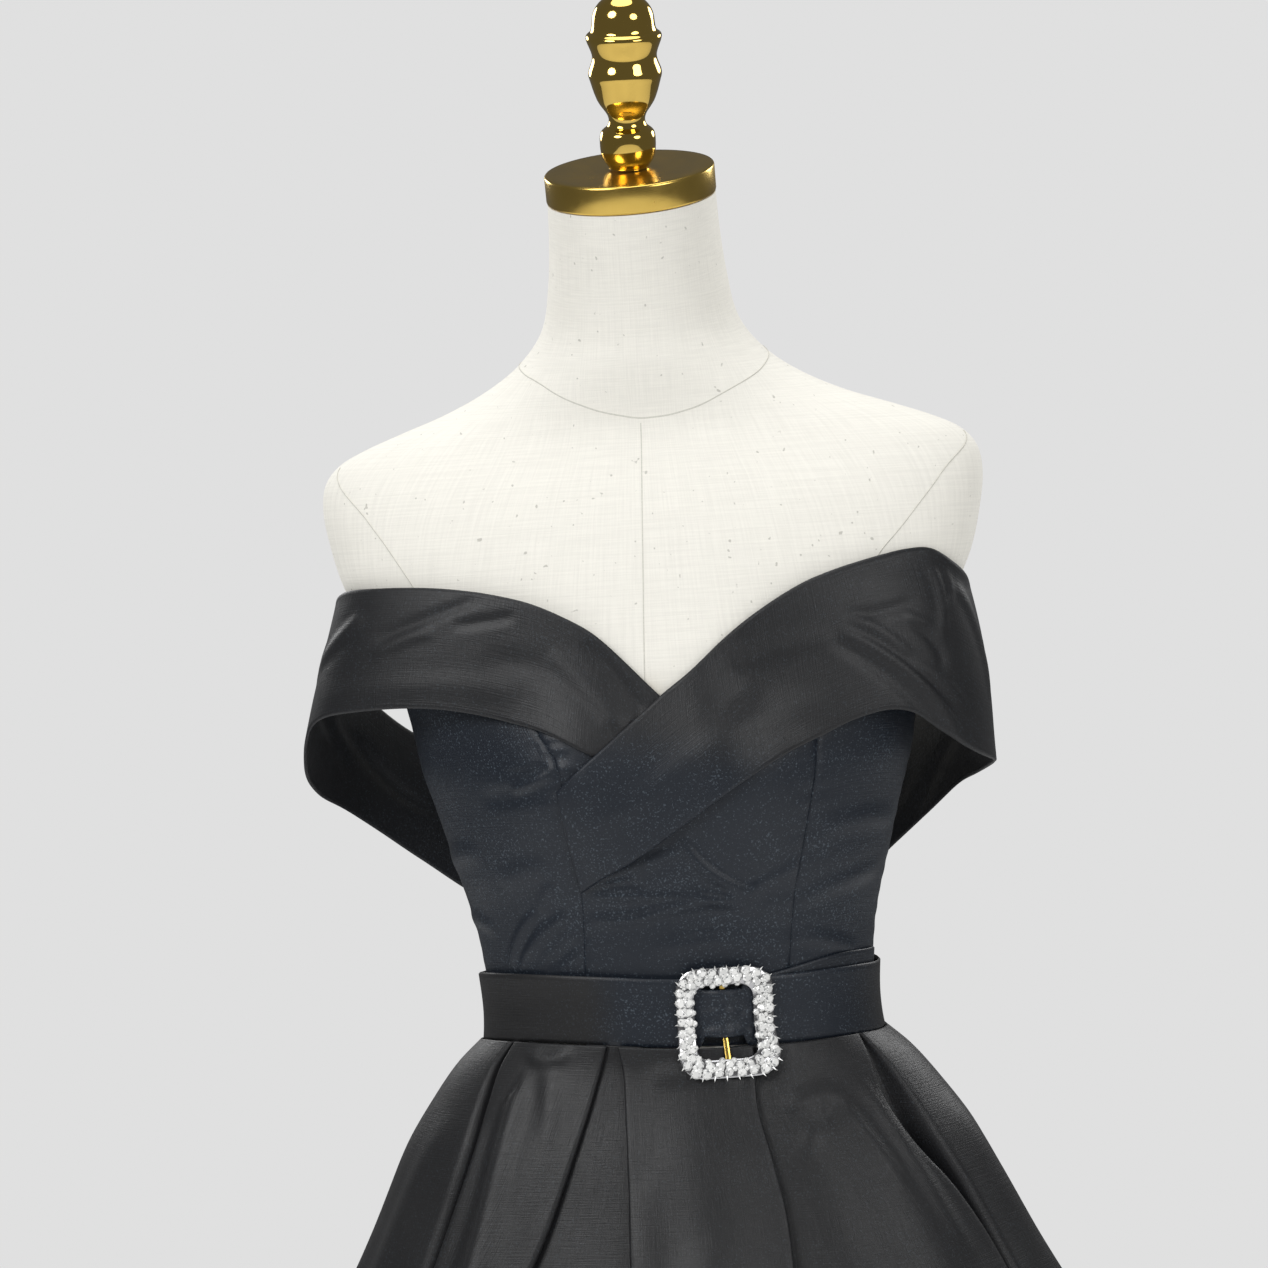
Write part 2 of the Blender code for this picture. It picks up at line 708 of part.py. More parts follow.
def rounded_outline(half_width, half_height, corner, corner_points, side_points):
    """Points of a rounded rectangle, in the same number for any size."""
    outline = []
    corners = ((1, 1, 0), (-1, 1, 90), (-1, -1, 180), (1, -1, 270))
    for sx, sy, start in corners:
        cx, cy = sx * (half_width - corner), sy * (half_height - corner)
        for k in range(corner_points + 1):
            a = math.radians(start + 90 * k / corner_points)
            outline.append((cx + corner * math.cos(a), cy + corner * math.sin(a)))
    dense = []
    for k, p in enumerate(outline):
        q = outline[(k + 1) % len(outline)]
        dense.append(p)
        if k % (corner_points + 1) == corner_points:
            for n in range(1, side_points + 1):
                t = n / (side_points + 1)
                dense.append((mix(p[0], q[0], t), mix(p[1], q[1], t)))
    return dense


def build_buckle():
    rim_out = rounded_outline(BUCKLE_HALF_WIDTH, BUCKLE_HALF_HEIGHT, BUCKLE_CORNER, 4, 2)
    rim_in = rounded_outline(
        BUCKLE_HALF_WIDTH - BUCKLE_RIM, BUCKLE_HALF_HEIGHT - BUCKLE_RIM, BUCKLE_CORNER / 2, 4, 2
    )
    loops = [(rim_out, 0), (rim_out, BUCKLE_THICKNESS), (rim_in, BUCKLE_THICKNESS), (rim_in, 0)]
    points = []
    for outline, out in loops:
        points += [buckle_point(x, y + BUCKLE_HEIGHT, out) for x, y in outline]
    count = len(rim_out)
    faces = sheet_faces(4, count, 0, True)
    for k in range(count):
        n = (k + 1) % count
        faces += [(3 * count + k, 3 * count + n, n), (3 * count + k, n, k)]
    add_mesh("belt_buckle", points, faces, CRYSTAL)
    half = BUCKLE_HALF_HEIGHT - BUCKLE_RIM - SEAM_GAP
    rows = 6
    outer = []
    inner = []
    for i in range(rows + 1):
        height = BUCKLE_HEIGHT + mix(-half, half, i / rows)
        outer.append([buckle_point(x, height, BAR_THICKNESS) for x in (-BAR_HALF_WIDTH, BAR_HALF_WIDTH)])
        inner.append([buckle_point(x, height, -0.2) for x in (-BAR_HALF_WIDTH, BAR_HALF_WIDTH)])
    add_wall("belt_buckle_bar", outer, inner, GOLD)


def skirt_section(height):
    return between(rising(SKIRT), height)


def cone_radius(azimuth, height):
    s = skirt_section(height)
    return oval(azimuth, s.half_width, s.front, s.back, SKIRT_SQUARE)


def turn(along, inwards, radius, first, last, points):
    """Points of a rounded turn of the cloth, as (along the wall, inwards) pairs."""
    line = []
    for k in range(points + 1):
        a = math.radians(mix(first, last, k / points))
        line.append((along + radius * math.cos(a), inwards + radius * math.sin(a)))
    return line


def lapping(overlap, layer):
    """A fold that laps over what comes after it, with its edge at 0."""
    r = layer / 2
    return turn(-r, r, r, -90, 90, 3) + turn(r - overlap, layer + r, r, -90, -270, 3)


def mirrored(line):
    return [(-along, inwards) for along, inwards in reversed(line)]


def climbing(layer, climb):
    """The cloth that comes out under a fold's edge and climbs back to the cone."""
    depth = 2 * layer
    return [(0.0, depth)] + [(climb * t, depth * (1 - smooth_step(t))) for t in (0.35, 0.7, 1.0)]


def valley(mouth, depth, lip):
    """A deep narrow fold between two rounded lips."""
    half = mouth / 2
    left = turn(-half - lip, lip, lip, -90, 0, 2)
    floor = turn(0, depth - half, half, 180, 0, 4)
    right = turn(half + lip, lip, lip, 180, 270, 2)
    return left + floor + right


Fold = namedtuple("Fold", "azimuth points")


def folds_at(height):
    """The skirt's folds at a height, by name, from the wearer's right back round the front to the left."""
    size = between(rising(PLEAT_SIZE), height)
    edge = between(rising(PLEAT_EDGES), height)
    hip = between(rising(HIP_FOLDS), height)
    lap = lapping(size.overlap, size.layer)
    climb = climbing(size.layer, size.climb)
    return {
        "back_b_right": Fold(-edge.back_b, lap),
        "back_a_right": Fold(-edge.back_a, mirrored(lap)),
        "back_climb_right": Fold(-edge.back_knife, mirrored(climb)),
        "back_knife_right": Fold(-edge.back_knife, mirrored(lap)),
        "hip_right": Fold(hip.right, valley(hip.mouth_right, hip.depth, hip.lip)),
        "panel_right": Fold(edge.panel_right, lap),
        "panel_left": Fold(edge.panel_left, mirrored(lap)),
        "front_knife": Fold(edge.front_knife, lap),
        "front_climb": Fold(edge.front_knife, climb),
        "hip_left": Fold(hip.left, valley(hip.mouth_left, hip.depth, hip.lip)),
        "back_knife_left": Fold(edge.back_knife, lap),
        "back_climb_left": Fold(edge.back_knife, climb),
        "back_a_left": Fold(edge.back_a, lap),
        "back_b_left": Fold(edge.back_b, mirrored(lap)),
    }


PANEL_POINTS = 3

# The skirt's pieces, each with its folds and its two ends: a seam's azimuth, or a fold whose hidden edge
# the seam lies on.
SkirtPiece = namedtuple("SkirtPiece", "name start folds end")
SKIRT_PIECES = (
    SkirtPiece(
        "skirt_back_right",
        -180.0,
        ("back_b_right", "back_a_right", "back_climb_right", "back_knife_right"),
        -90.0,
    ),
    SkirtPiece("skirt_side_right", -90.0, ("hip_right", "panel_right"), None),
    SkirtPiece("skirt_front_centre", "panel_right", (), "panel_left"),
    SkirtPiece("skirt_front_left", None, ("panel_left", "front_knife"), None),
    SkirtPiece("skirt_side_left", "front_knife", ("front_climb", "hip_left"), 90.0),
    SkirtPiece(
        "skirt_back_left",
        90.0,
        ("back_knife_left", "back_climb_left", "back_a_left", "back_b_left"),
        180.0,
    ),
)


def fold_line(piece, height):
    """The piece's middle line at a height, as (azimuth, inwards) points between its two seams."""
    placed = {}
    for name, fold in folds_at(height).items():
        scale = degrees_of(1.0, cone_radius(fold.azimuth, height))
        placed[name] = [(fold.azimuth + along * scale, inwards) for along, inwards in fold.points]
    crown = skirt_section(height).crown
    stops = [placed[name] for name in piece.folds]
    if isinstance(piece.start, float):
        stops.insert(0, [(piece.start, -side_crown(piece.start, crown))])
    elif piece.start:
        stops.insert(0, placed[piece.start][-1:])
    if isinstance(piece.end, float):
        stops.append([(piece.end, -side_crown(piece.end, crown))])
    elif piece.end:
        stops.append(placed[piece.end][:1])
    line = list(stops[0])
    for stop in stops[1:]:
        line += panel_points(line[-1], stop[0], crown)
        line += stop
    half_gap = degrees_of(SEAM_GAP / 2, cone_radius(line[0][0], height))
    line[0] = (line[0][0] + half_gap, line[0][1])
    line[-1] = (line[-1][0] - half_gap, line[-1][1])
    return line


def side_crown(azimuth, crown):
    """How far a panel that a seam cuts bulges at that seam."""
    return crown if abs(abs(azimuth) - 90) < 45 else 0.0


def panel_points(start, end, crown):
    """Points of the panel between two folds or seams, bulging a little in its middle."""
    made = []
    rises = start[1] < 0.01 and end[1] < 0.01
    for k in range(1, PANEL_POINTS + 1):
        t = k / (PANEL_POINTS + 1)
        if not rises:
            bulge = 0.0
        elif start[1] < -0.01 or abs(abs(start[0]) - 90) < 1:
            bulge = crown * math.cos(math.pi / 2 * t) ** 2
        elif end[1] < -0.01 or abs(abs(end[0]) - 90) < 1:
            bulge = crown * math.sin(math.pi / 2 * t) ** 2
        else:
            bulge = crown * math.sin(math.pi * t) ** 2
        made.append((mix(start[0], end[0], t), mix(max(start[1], 0.0), max(end[1], 0.0), t) - bulge))
    return made


def offset_line(line, distance):
    """A plan line moved sideways by a distance: straight out at its two ends, which lie on seams."""
    moved = [line[0] + line[0].normalized() * distance]
    for before, point, after in zip(line, line[1:], line[2:]):
        towards = (point - before).normalized()
        along = (towards + (after - point).normalized()).normalized()
        stretch = min(1 / max(along.dot(towards), 0.5), 1.3)
        moved.append(point + Vector((along.y, -along.x)) * distance * stretch)
    moved.append(line[-1] + line[-1].normalized() * distance)
    return moved


def skirt_rise(azimuth, height):
    """How far the skirt's upper part is lifted so that its top follows the belt."""
    return belt_rise(azimuth) * (1 - smooth_step((SKIRT[0].height - height) / RISE_FADES_BY))


def build_skirt_piece(piece):
    outer = []
    inner = []
    for section in rising(SKIRT):
        height = section.height
        line = []
        rises = []
        for azimuth, inwards in fold_line(piece, height):
            point = world(azimuth, cone_radius(azimuth, height) - inwards, height)
            line.append(point.xy)
            rises.append(skirt_rise(azimuth, height))
        for rows, distance in ((outer, SKIRT_WALL / 2), (inner, -SKIRT_WALL / 2)):
            moved = offset_line(line, distance * MM)
            rows.append([Vector((p.x, p.y, WAIST + (height + r) * MM)) for p, r in zip(moved, rises)])
    add_wall(piece.name, outer, inner, SATIN)


def build_skirt():
    for piece in SKIRT_PIECES:
        build_skirt_piece(piece)


clear_scene()
build_form()
build_stand()
build_bodice()
build_bands()
build_belt()
build_tail()
build_buckle()
build_skirt()
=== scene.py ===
"""Off-shoulder dress on a limbless dress form, as its photo shows it.

The tables are in millimetres and degrees: a height counts from the waist, which is the belt's middle,
and an azimuth from the centre front towards the wearer's left. Points are made in metres, +Z up.
"""

import math
from collections import namedtuple

import bpy
import numpy as np
from mathutils import Matrix, Vector

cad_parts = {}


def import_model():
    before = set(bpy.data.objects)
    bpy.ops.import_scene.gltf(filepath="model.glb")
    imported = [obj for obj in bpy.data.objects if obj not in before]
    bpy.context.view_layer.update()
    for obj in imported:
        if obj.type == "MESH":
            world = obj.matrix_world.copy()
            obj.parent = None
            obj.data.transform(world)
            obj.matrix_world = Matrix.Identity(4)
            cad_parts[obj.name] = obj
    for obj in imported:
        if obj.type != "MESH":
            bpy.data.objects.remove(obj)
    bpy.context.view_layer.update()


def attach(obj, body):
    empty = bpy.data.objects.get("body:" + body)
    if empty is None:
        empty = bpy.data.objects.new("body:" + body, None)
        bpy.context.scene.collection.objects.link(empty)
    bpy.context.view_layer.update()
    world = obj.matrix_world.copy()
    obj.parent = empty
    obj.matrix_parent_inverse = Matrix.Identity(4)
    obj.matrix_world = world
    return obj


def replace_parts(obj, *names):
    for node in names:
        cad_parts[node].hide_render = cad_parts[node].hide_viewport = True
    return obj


MM = 0.001
WAIST = 1.02

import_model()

SEAM_GAP = 0.3  # between two pieces that meet

# Form: horizontal sections of the torso and neck. Shift moves a section forwards, aside to the wearer's
# left, and lean tips it forwards.
FormSection = namedtuple("FormSection", "height half_width front back square shift aside lean")
FORM = (
    FormSection(-245, 138, 78, 96, 2.1, 0, 0, 0),
    FormSection(-225, 155, 92, 113, 2.1, 0, 0, 0),
    FormSection(-180, 159, 96, 117, 2.1, 0, 0, 0),
    FormSection(-120, 150, 90, 106, 2.1, 0, 0, 0),
    FormSection(-60, 131, 81, 89, 2.1, 0, 0, 0),
    FormSection(-21, 119, 76, 78, 2.1, 0, 0, 0),
    FormSection(0, 116.5, 76, 76, 2.1, 0, 0, 0),
    FormSection(22, 117.5, 77, 75.5, 2.1, 0, 0, 0),
    FormSection(50, 121, 81, 76, 2.1, 0, 0, 0),
    FormSection(72, 126, 84.5, 78, 2.1, 0, 0, 0),
    FormSection(93, 132, 88, 80, 2.15, 0, 0, 0),
    FormSection(112, 137, 90, 82.5, 2.15, 0, 0, 0),
    FormSection(133, 143, 91.5, 85.5, 2.15, 0, 0, 0),
    FormSection(155, 149.5, 92, 88, 2.2, 0, 0, 0),
    FormSection(175, 153, 92, 90.5, 2.2, 0, 0, 0),
    FormSection(195, 157, 91, 93, 2.2, 0, 0, 0),
    FormSection(215, 163, 89, 95, 2.2, 0, 0, 0),
    FormSection(245, 181, 84, 96, 2.2, 0, 0, 0),
    FormSection(273, 195, 79, 95, 2.2, 0, 0, 0),
    FormSection(304, 203, 72, 92, 2.2, 0, 0, 0),
    FormSection(323, 205, 66, 89, 2.2, 0, 0, 0),
    FormSection(338, 202, 60, 86, 2.2, 0, 0, 0),
    FormSection(349, 192, 56, 83, 2.2, 0, 0, 0),
    FormSection(357, 176, 54, 80, 2.2, 0, 0, 0),
    FormSection(366, 152, 53, 77, 2.1, 1, 0, 1),
    FormSection(376, 124, 54, 72, 2.0, 2, 0, 2),
    FormSection(389, 97, 55, 65, 2.0, 4, 0.2, 4),
    FormSection(404, 76, 55, 58, 2.0, 7, 0.6, 7),
    FormSection(423.5, 61, 53, 54, 2.0, 11, 1, 11),
    FormSection(450, 55, 52, 53, 2.0, 18, 1.6, 15),
    FormSection(477, 52.2, 51.6, 51.6, 2.0, 27, 2.1, 17),
    FormSection(499.5, 51.2, 51.2, 51.2, 2.0, 35, 2.5, 18.5),
)
BUST_AZIMUTH = 27.0
BUST_HEIGHT = 150.0
BUST_OUT = 16.0
BUST_SPREAD = 22.0
BUST_RISE = 50.0

# Neck cap, finial, pole and base, as turned profiles of (radius, height).
CAP_RADIUS = 51.7
CAP_HEIGHT = 17.0
CAP_EDGE = 1.5
FinialRing = namedtuple("FinialRing", "radius below_top")
FINIAL_HEIGHT = 105.0
FINIAL_LEAN_ASIDE = 2.8
FINIAL = (
    FinialRing(8.6, 1.9),
    FinialRing(14.4, 6.1),
    FinialRing(18.0, 12.2),
    FinialRing(19.5, 21.6),
    FinialRing(22.8, 26.2),
    FinialRing(19.4, 37.5),
    FinialRing(22.0, 46.9),
    FinialRing(21.1, 52.5),
    FinialRing(17.4, 63.8),
    FinialRing(11.6, 73.1),
    FinialRing(11.6, 78.8),
    FinialRing(16.1, 83.4),
    FinialRing(16.9, 90.9),
    FinialRing(15.8, 98.4),
    FinialRing(12.1, 104.5),
)
POLE_RADIUS = 13.0
FLANGE_RADIUS = 42.0
FLANGE_HEIGHT = 7.0
BASE_RADIUS = 180.0
BASE_EDGE = 16.0
BASE_TOP = 46.0
BOSS_RADIUS = 24.0

# Bodice: walls over the form, between seams. Heights of the upper edge by azimuth.
BODICE_INNER = 1.2
BODICE_OUTER = 2.6
BODICE_BOTTOM = -20.0
TopEdge = namedtuple("TopEdge", "azimuth height")
BODICE_TOP = (
    TopEdge(-180, 62),
    TopEdge(-150, 80),
    TopEdge(-130, 115),
    TopEdge(-115, 150),
    TopEdge(-104, 182),
    TopEdge(-90, 210),
    TopEdge(-60, 225),
    TopEdge(-35, 213),
    TopEdge(-16, 190),
    TopEdge(0, 160),
    TopEdge(20, 168),
    TopEdge(35, 188),
    TopEdge(60, 218),
    TopEdge(90, 210),
    TopEdge(104, 182),
    TopEdge(115, 150),
    TopEdge(130, 115),
    TopEdge(150, 80),
    TopEdge(180, 62),
)
PrincessSeam = namedtuple("PrincessSeam", "height right left")
PRINCESS = (
    PrincessSeam(-20, -39, 47),
    PrincessSeam(35, -34.6, 48),
    PrincessSeam(60, -32.2, 48),
    PrincessSeam(85, -29.7, 47.8),
    PrincessSeam(117, -27.5, 48.6),
    PrincessSeam(145, -27.0, 49.6),
    PrincessSeam(165, -29.5, 50.2),
    PrincessSeam(185, -36.6, 51),
    PrincessSeam(225, -48, 52),
)
SIDE_SEAM = 89.0

# Off-shoulder bands: double cloth from the centre back round the arm to the front.
BAND_THICKNESS = 2.2
BAND_ON_BODICE = 3.6
BAND_ON_FORM = 1.4
BAND_ON_BAND = 6.8
BAND_TUCKED = 3.3
ArmLoop = namedtuple("ArmLoop", "height right left front back")
ARM_LOOP = (
    ArmLoop(24, 236, 205, 78, 92),
    ArmLoop(100, 234, 203, 88, 105),
    ArmLoop(150, 229, 201, 92, 110),
    ArmLoop(200, 217, 199, 92, 110),
    ArmLoop(255, 200, 190, 88, 104),
    ArmLoop(280, 193, 180, 82, 100),
)
ARM_LOOP_SQUARE = 2.4
ARM_LOOP_BLEND = 8.0
BandEdge = namedtuple("BandEdge", "azimuth bottom top")
BAND_RIGHT = (
    BandEdge(-180, 24, 95),
    BandEdge(-160, 27, 103),
    BandEdge(-145, 34, 118),
    BandEdge(-130, 50, 140),
    BandEdge(-122, 68, 158),
    BandEdge(-115, 93, 175),
    BandEdge(-109, 115, 193),
    BandEdge(-104, 130, 208),
    BandEdge(-98, 142, 228),
    BandEdge(-92, 157, 248),
    BandEdge(-87, 176, 261),
    BandEdge(-82, 190, 268),
    BandEdge(-75, 197, 270.5),
    BandEdge(-60, 199, 268.6),
    BandEdge(-42, 188, 259),
    BandEdge(-30, 180, 248.5),
    BandEdge(-17, 166, 233.8),
    BandEdge(4, 145, 198),
    BandEdge(12, 137, 184),
)
BAND_LEFT = (
    BandEdge(-28, 84.5, 145.5),
    BandEdge(-18, 94, 163),
    BandEdge(-8, 103, 180),
    BandEdge(4, 116.5, 198),
    BandEdge(14, 129.5, 211),
    BandEdge(25, 145.4, 227),
    BandEdge(36.5, 158.7, 243),
    BandEdge(49, 170, 259),
    BandEdge(56.5, 179, 266),
    BandEdge(62.5, 182.7, 270.5),
    BandEdge(67, 179, 273.5),
    BandEdge(71, 168, 275.5),
    BandEdge(75, 158, 275),
    BandEdge(80, 150, 266),
    BandEdge(86, 145, 256),
    BandEdge(92, 142, 245),
    BandEdge(98, 138, 228),
    BandEdge(104, 132, 208),
    BandEdge(109, 125, 193),
    BandEdge(115, 108, 175),
    BandEdge(122, 86, 158),
    BandEdge(130, 60, 140),
    BandEdge(145, 34, 118),
    BandEdge(160, 27, 103),
    BandEdge(180, 24, 95),
)

# The belt's middle line rises above the waist by a little, the most at the wearer's right front.
BeltRise = namedtuple("BeltRise", "azimuth rise")
BELT_RISE = (
    BeltRise(-180, 4),
    BeltRise(-130, 4),
    BeltRise(-95, 5.5),
    BeltRise(-75, 10),
    BeltRise(-55, 12),
    BeltRise(-30, 11),
    BeltRise(0, 8),
    BeltRise(45, 6),
    BeltRise(66, 5.5),
    BeltRise(90, 3),
    BeltRise(130, 3.5),
    BeltRise(180, 4),
)
RISE_FADES_BY = 110.0  # mm below the belt

# Belt with its tail and buckle.
BELT_HALF_HEIGHT = 20.0
BELT_INNER = 5.4
BELT_OUTER = 7.4
TAIL_INNER = 3.4
TAIL_OUTER = 4.8
TAIL_START = 12.0
TAIL_END = 84.0
TAIL_RISE = 11.0
BUCKLE_AZIMUTH = 21.0
BUCKLE_HEIGHT = -5.0  # from the belt's middle line
BUCKLE_HALF_WIDTH = 29.0
BUCKLE_HALF_HEIGHT = 34.0
BUCKLE_CORNER = 15.0
BUCKLE_RIM = 12.0
BUCKLE_OFF_BELT = 1.0
BUCKLE_THICKNESS = 4.4
BUCKLE_FLARE_FROM = 8.0
BUCKLE_FLARE = 0.32
BAR_HALF_WIDTH = 1.5
HUMP = 4.6
HUMP_REACH = 16.0
PINCH = 6.6
PINCH_FULL_AT = 0.22  # of the hump

# Skirt: the smooth cone that the pleats are laid on, and the pleats' edges by height.
SKIRT_WALL = 1.4
SkirtSection = namedtuple("SkirtSection", "height half_width front back crown")
SKIRT = (
    SkirtSection(-21, 126, 86.5, 87, 0),
    SkirtSection(-35, 141, 88, 94, 0.5),
    SkirtSection(-55, 156.5, 95, 105, 1.5),
    SkirtSection(-80, 173, 106, 118, 3),
    SkirtSection(-110, 187.5, 118, 131, 4),
    SkirtSection(-150, 204.5, 134, 147, 6),
    SkirtSection(-220, 238, 162, 176, 9),
    SkirtSection(-330, 284, 201, 216, 12),
    SkirtSection(-470, 332, 243, 258, 15),
    SkirtSection(-610, 370, 277, 293, 18),
    SkirtSection(-735, 396, 300, 317, 20),
)
SKIRT_SQUARE = 2.05
# A pleat's edge laps over the next panel by overlap, its layers lie layer apart, and the cloth that
# comes out under it climbs back to the cone over climb.
PleatSize = namedtuple("PleatSize", "height overlap layer climb")
PLEAT_SIZE = (
    PleatSize(-21, 13, 2.1, 20),
    PleatSize(-55, 16, 2.5, 26),
    PleatSize(-110, 20, 3.6, 34),
    PleatSize(-220, 24, 6.5, 48),
    PleatSize(-330, 24, 9, 60),
    PleatSize(-470, 22, 12, 75),
    PleatSize(-735, 20, 16, 95),
)
PleatEdges = namedtuple("PleatEdges", "height panel_right panel_left front_knife back_knife back_a back_b")
PLEAT_EDGES = (
    PleatEdges(-21, -26.2, -21.0, 31, 122, 151, 157),
    PleatEdges(-35, -28.2, -19.0, 30.2, 121, 150, 158.5),
    PleatEdges(-55, -30.2, -17.2, 28.8, 120, 149, 160),
    PleatEdges(-80, -32.6, -15.2, 29.5, 120, 148, 162),
    PleatEdges(-110, -35.5, -13.5, 30.0, 120, 147, 163.5),
    PleatEdges(-150, -39.2, -12.0, 28.6, 120, 146, 165),
    PleatEdges(-220, -41, -10.6, 28, 120, 144, 166),
    PleatEdges(-330, -41.5, -9.6, 27, 120, 143, 167),
    PleatEdges(-735, -41, -9, 26, 120, 142, 168),
)
# The hip folds, one to each side of the front, are deep valleys between two rounded lips.
HipFold = namedtuple("HipFold", "height right left mouth_right mouth_left depth lip")
HIP_FOLDS = (
    HipFold(-21, -61.5, 69.3, 2.8, 2.8, 4, 1.2),
    HipFold(-35, -63.2, 68.8, 5, 10, 9.5, 2),
    HipFold(-55, -62.5, 68.2, 6, 18, 17, 3),
    HipFold(-80, -61.2, 69, 4.5, 17, 24, 4),
    HipFold(-110, -61.5, 72.6, 3.4, 9, 29, 5),
    HipFold(-150, -62, 75, 3.6, 4.5, 30, 6),
    HipFold(-220, -63, 75, 7, 7, 30, 8),
    HipFold(-330, -64, 74, 14, 14, 31, 10),
    HipFold(-735, -66, 73, 34, 34, 38, 14),
)

# Creases are lines over the cloth through a start, a middle and an end, each an azimuth and a height.
# Width is half the ridge's width in mm, and depth is how far it stands out, or sinks where negative.
Crease = namedtuple(
    "Crease", "azimuth height azimuth_mid height_mid azimuth_end height_end width depth"
)
BODICE_CREASES = (
    Crease(-35, 175, -31, 177, -26, 176, 3.0, 1.1),
    Crease(-34, 169, -30, 171, -25, 171, 3.0, 1.2),
    Crease(-31, 158, -28, 160, -24, 159, 3.2, 1.0),
    Crease(-45, 147, -38, 150, -30, 158, 3.4, 1.8),
    Crease(-46, 157, -38, 158, -31, 162, 3.6, -1.2),
    Crease(-57, 141, -40, 145, -24, 150, 7.0, -1.4),
    Crease(-63, 34, -57, 55, -47, 72, 3.6, 1.8),
    Crease(-60, 32, -53, 50, -44, 66, 3.4, 1.3),
    Crease(-55, 42, -46, 58, -37, 70, 3.6, 1.6),
    Crease(-50, 36, -44, 42, -36, 52, 4.5, -1.2),
    Crease(-46, 70, -42, 82, -38, 88, 5.0, 1.2),
    Crease(-58, 88, -48, 96, -38, 99, 8.0, 0.9),
    Crease(8, 113, 17, 93, 31, 79, 4.0, 2.4),
    Crease(12, 118, 22, 97, 36, 84, 6.0, -1.8),
    Crease(-29, 84, -12, 96, 9, 106, 4.5, 1.5),
    Crease(-28, 80, -14, 80, -4, 79.5, 3.2, 1.4),
    Crease(-8, 78, 4, 79, 15, 77, 3.0, 1.0),
    Crease(-28, 86, -18, 88, -6, 87, 4.0, -1.3),
    Crease(-29, 67, -12, 66, 1, 72, 4.4, 1.6),
    Crease(-2, 70, 12, 74, 38, 77, 5.0, 1.5),
    Crease(8, 85, 18, 76, 30, 70, 4.2, 1.0),
    Crease(2, 58, 22, 62, 48, 52, 8.0, -2.0),
    Crease(-6, 47, 10, 49, 27, 50, 6.0, 0.9),
    Crease(30, 79, 40, 86, 47, 92, 5.0, 1.2),
    Crease(49, 70, 62, 78, 80, 84, 7.0, 1.2),
    Crease(49, 48, 60, 44, 74, 34, 5.5, 1.2),
    Crease(52, 110, 66, 116, 84, 112, 8.0, 1.0),
    Crease(-88, 60, -78, 64, -66, 58, 6.0, 1.1),
    Crease(-88, 96, -76, 104, -62, 108, 8.0, 1.2),
    Crease(95, 44, 112, 40, 128, 46, 6.0, 1.3),
    Crease(94, 92, 108, 88, 122, 78, 8.0, 1.4),
    Crease(140, 20, 155, 12, 172, 14, 6.0, 1.0),
    Crease(-95, 44, -112, 38, -130, 44, 6.0, 1.3),
    Crease(-94, 88, -110, 86, -124, 76, 8.0, 1.4),
    Crease(-142, 18, -156, 12, -172, 16, 6.0, 1.0),
)
BAND_RIGHT_CREASES = (
    Crease(-70, 240, -61, 252, -50, 263, 5.0, -1.5),
    Crease(-56, 246, -50, 248, -42, 250, 4.5, -1.2),
    Crease(-70, 230, -65, 239, -59, 244, 4.5, 1.3),
    Crease(-86, 222, -78, 242, -73, 255, 6.0, 1.7),
    Crease(-22, 234, -9, 206, -2, 188, 6.0, -1.6),
    Crease(-33, 228, -17, 200, -8, 182, 8.0, 1.4),
    Crease(-50, 226, -30, 214, -14, 186, 9.0, -1.2),
    Crease(-80, 205, -60, 212, -40, 203, 9.0, 0.9),
    Crease(-100, 180, -92, 205, -87, 240, 7.0, 1.8),
    Crease(-106, 160, -99, 190, -94, 224, 5.0, -1.5),
    Crease(-118, 120, -112, 142, -104, 180, 6.0, 1.6),
    Crease(-140, 60, -128, 92, -116, 140, 7.0, 1.4),
    Crease(-176, 66, -155, 72, -134, 104, 8.0, 1.1),
    Crease(-170, 48, -150, 50, -132, 72, 6.0, -1.0),
)
BAND_LEFT_CREASES = (
    Crease(55, 230, 66, 203, 75, 158, 3.4, 2.5),
    Crease(53, 225, 63, 200, 72, 158, 5.0, -1.5),
    Crease(57, 238, 62, 229, 67, 212, 3.6, 1.7),
    Crease(56, 240, 63, 240, 70, 246, 5.0, -1.1),
    Crease(74, 265, 75, 248, 73, 218, 3.6, 1.6),
    Crease(77.5, 262, 77.5, 248, 75, 236, 3.4, 1.2),
    Crease(67, 238, 69, 234, 71, 230, 3.0, 1.1),
    Crease(68, 232, 72, 216, 72, 203, 3.8, -1.5),
    Crease(66, 212, 72, 196, 76, 180, 3.4, 1.1),
    Crease(79, 255, 84, 222, 86, 180, 6.0, 1.5),
    Crease(28, 214, 40, 222, 54, 228, 9.0, 0.9),
    Crease(10, 158, 30, 180, 52, 192, 10.0, 0.8),
    Crease(-24, 120, -4, 140, 14, 166, 9.0, 0.7),
    Crease(96, 150, 98, 180, 93, 224, 6.0, 1.6),
    Crease(104, 136, 106, 160, 100, 196, 6.0, -1.3),
    Crease(118, 104, 114, 132, 106, 172, 6.0, 1.5),
    Crease(142, 54, 130, 84, 118, 136, 7.0, 1.4),
    Crease(176, 60, 156, 66, 134, 100, 8.0, 1.1),
    Crease(168, 84, 150, 92, 136, 116, 6.0, -1.0),
)
BELT_CREASES = (
    Crease(8, 18, 14, 4, 18, 2, 3.0, 0.7),
    Crease(8, -17, 14, -6, 18, -4, 3.0, 0.7),
    Crease(36, 17, 30, 4, 26, 2, 3.0, 0.7),
    Crease(36, -17, 30, -6, 26, -4, 3.0, 0.7),
    Crease(-30, 0, -50, 4, -72, 2, 10.0, 0.35),
)
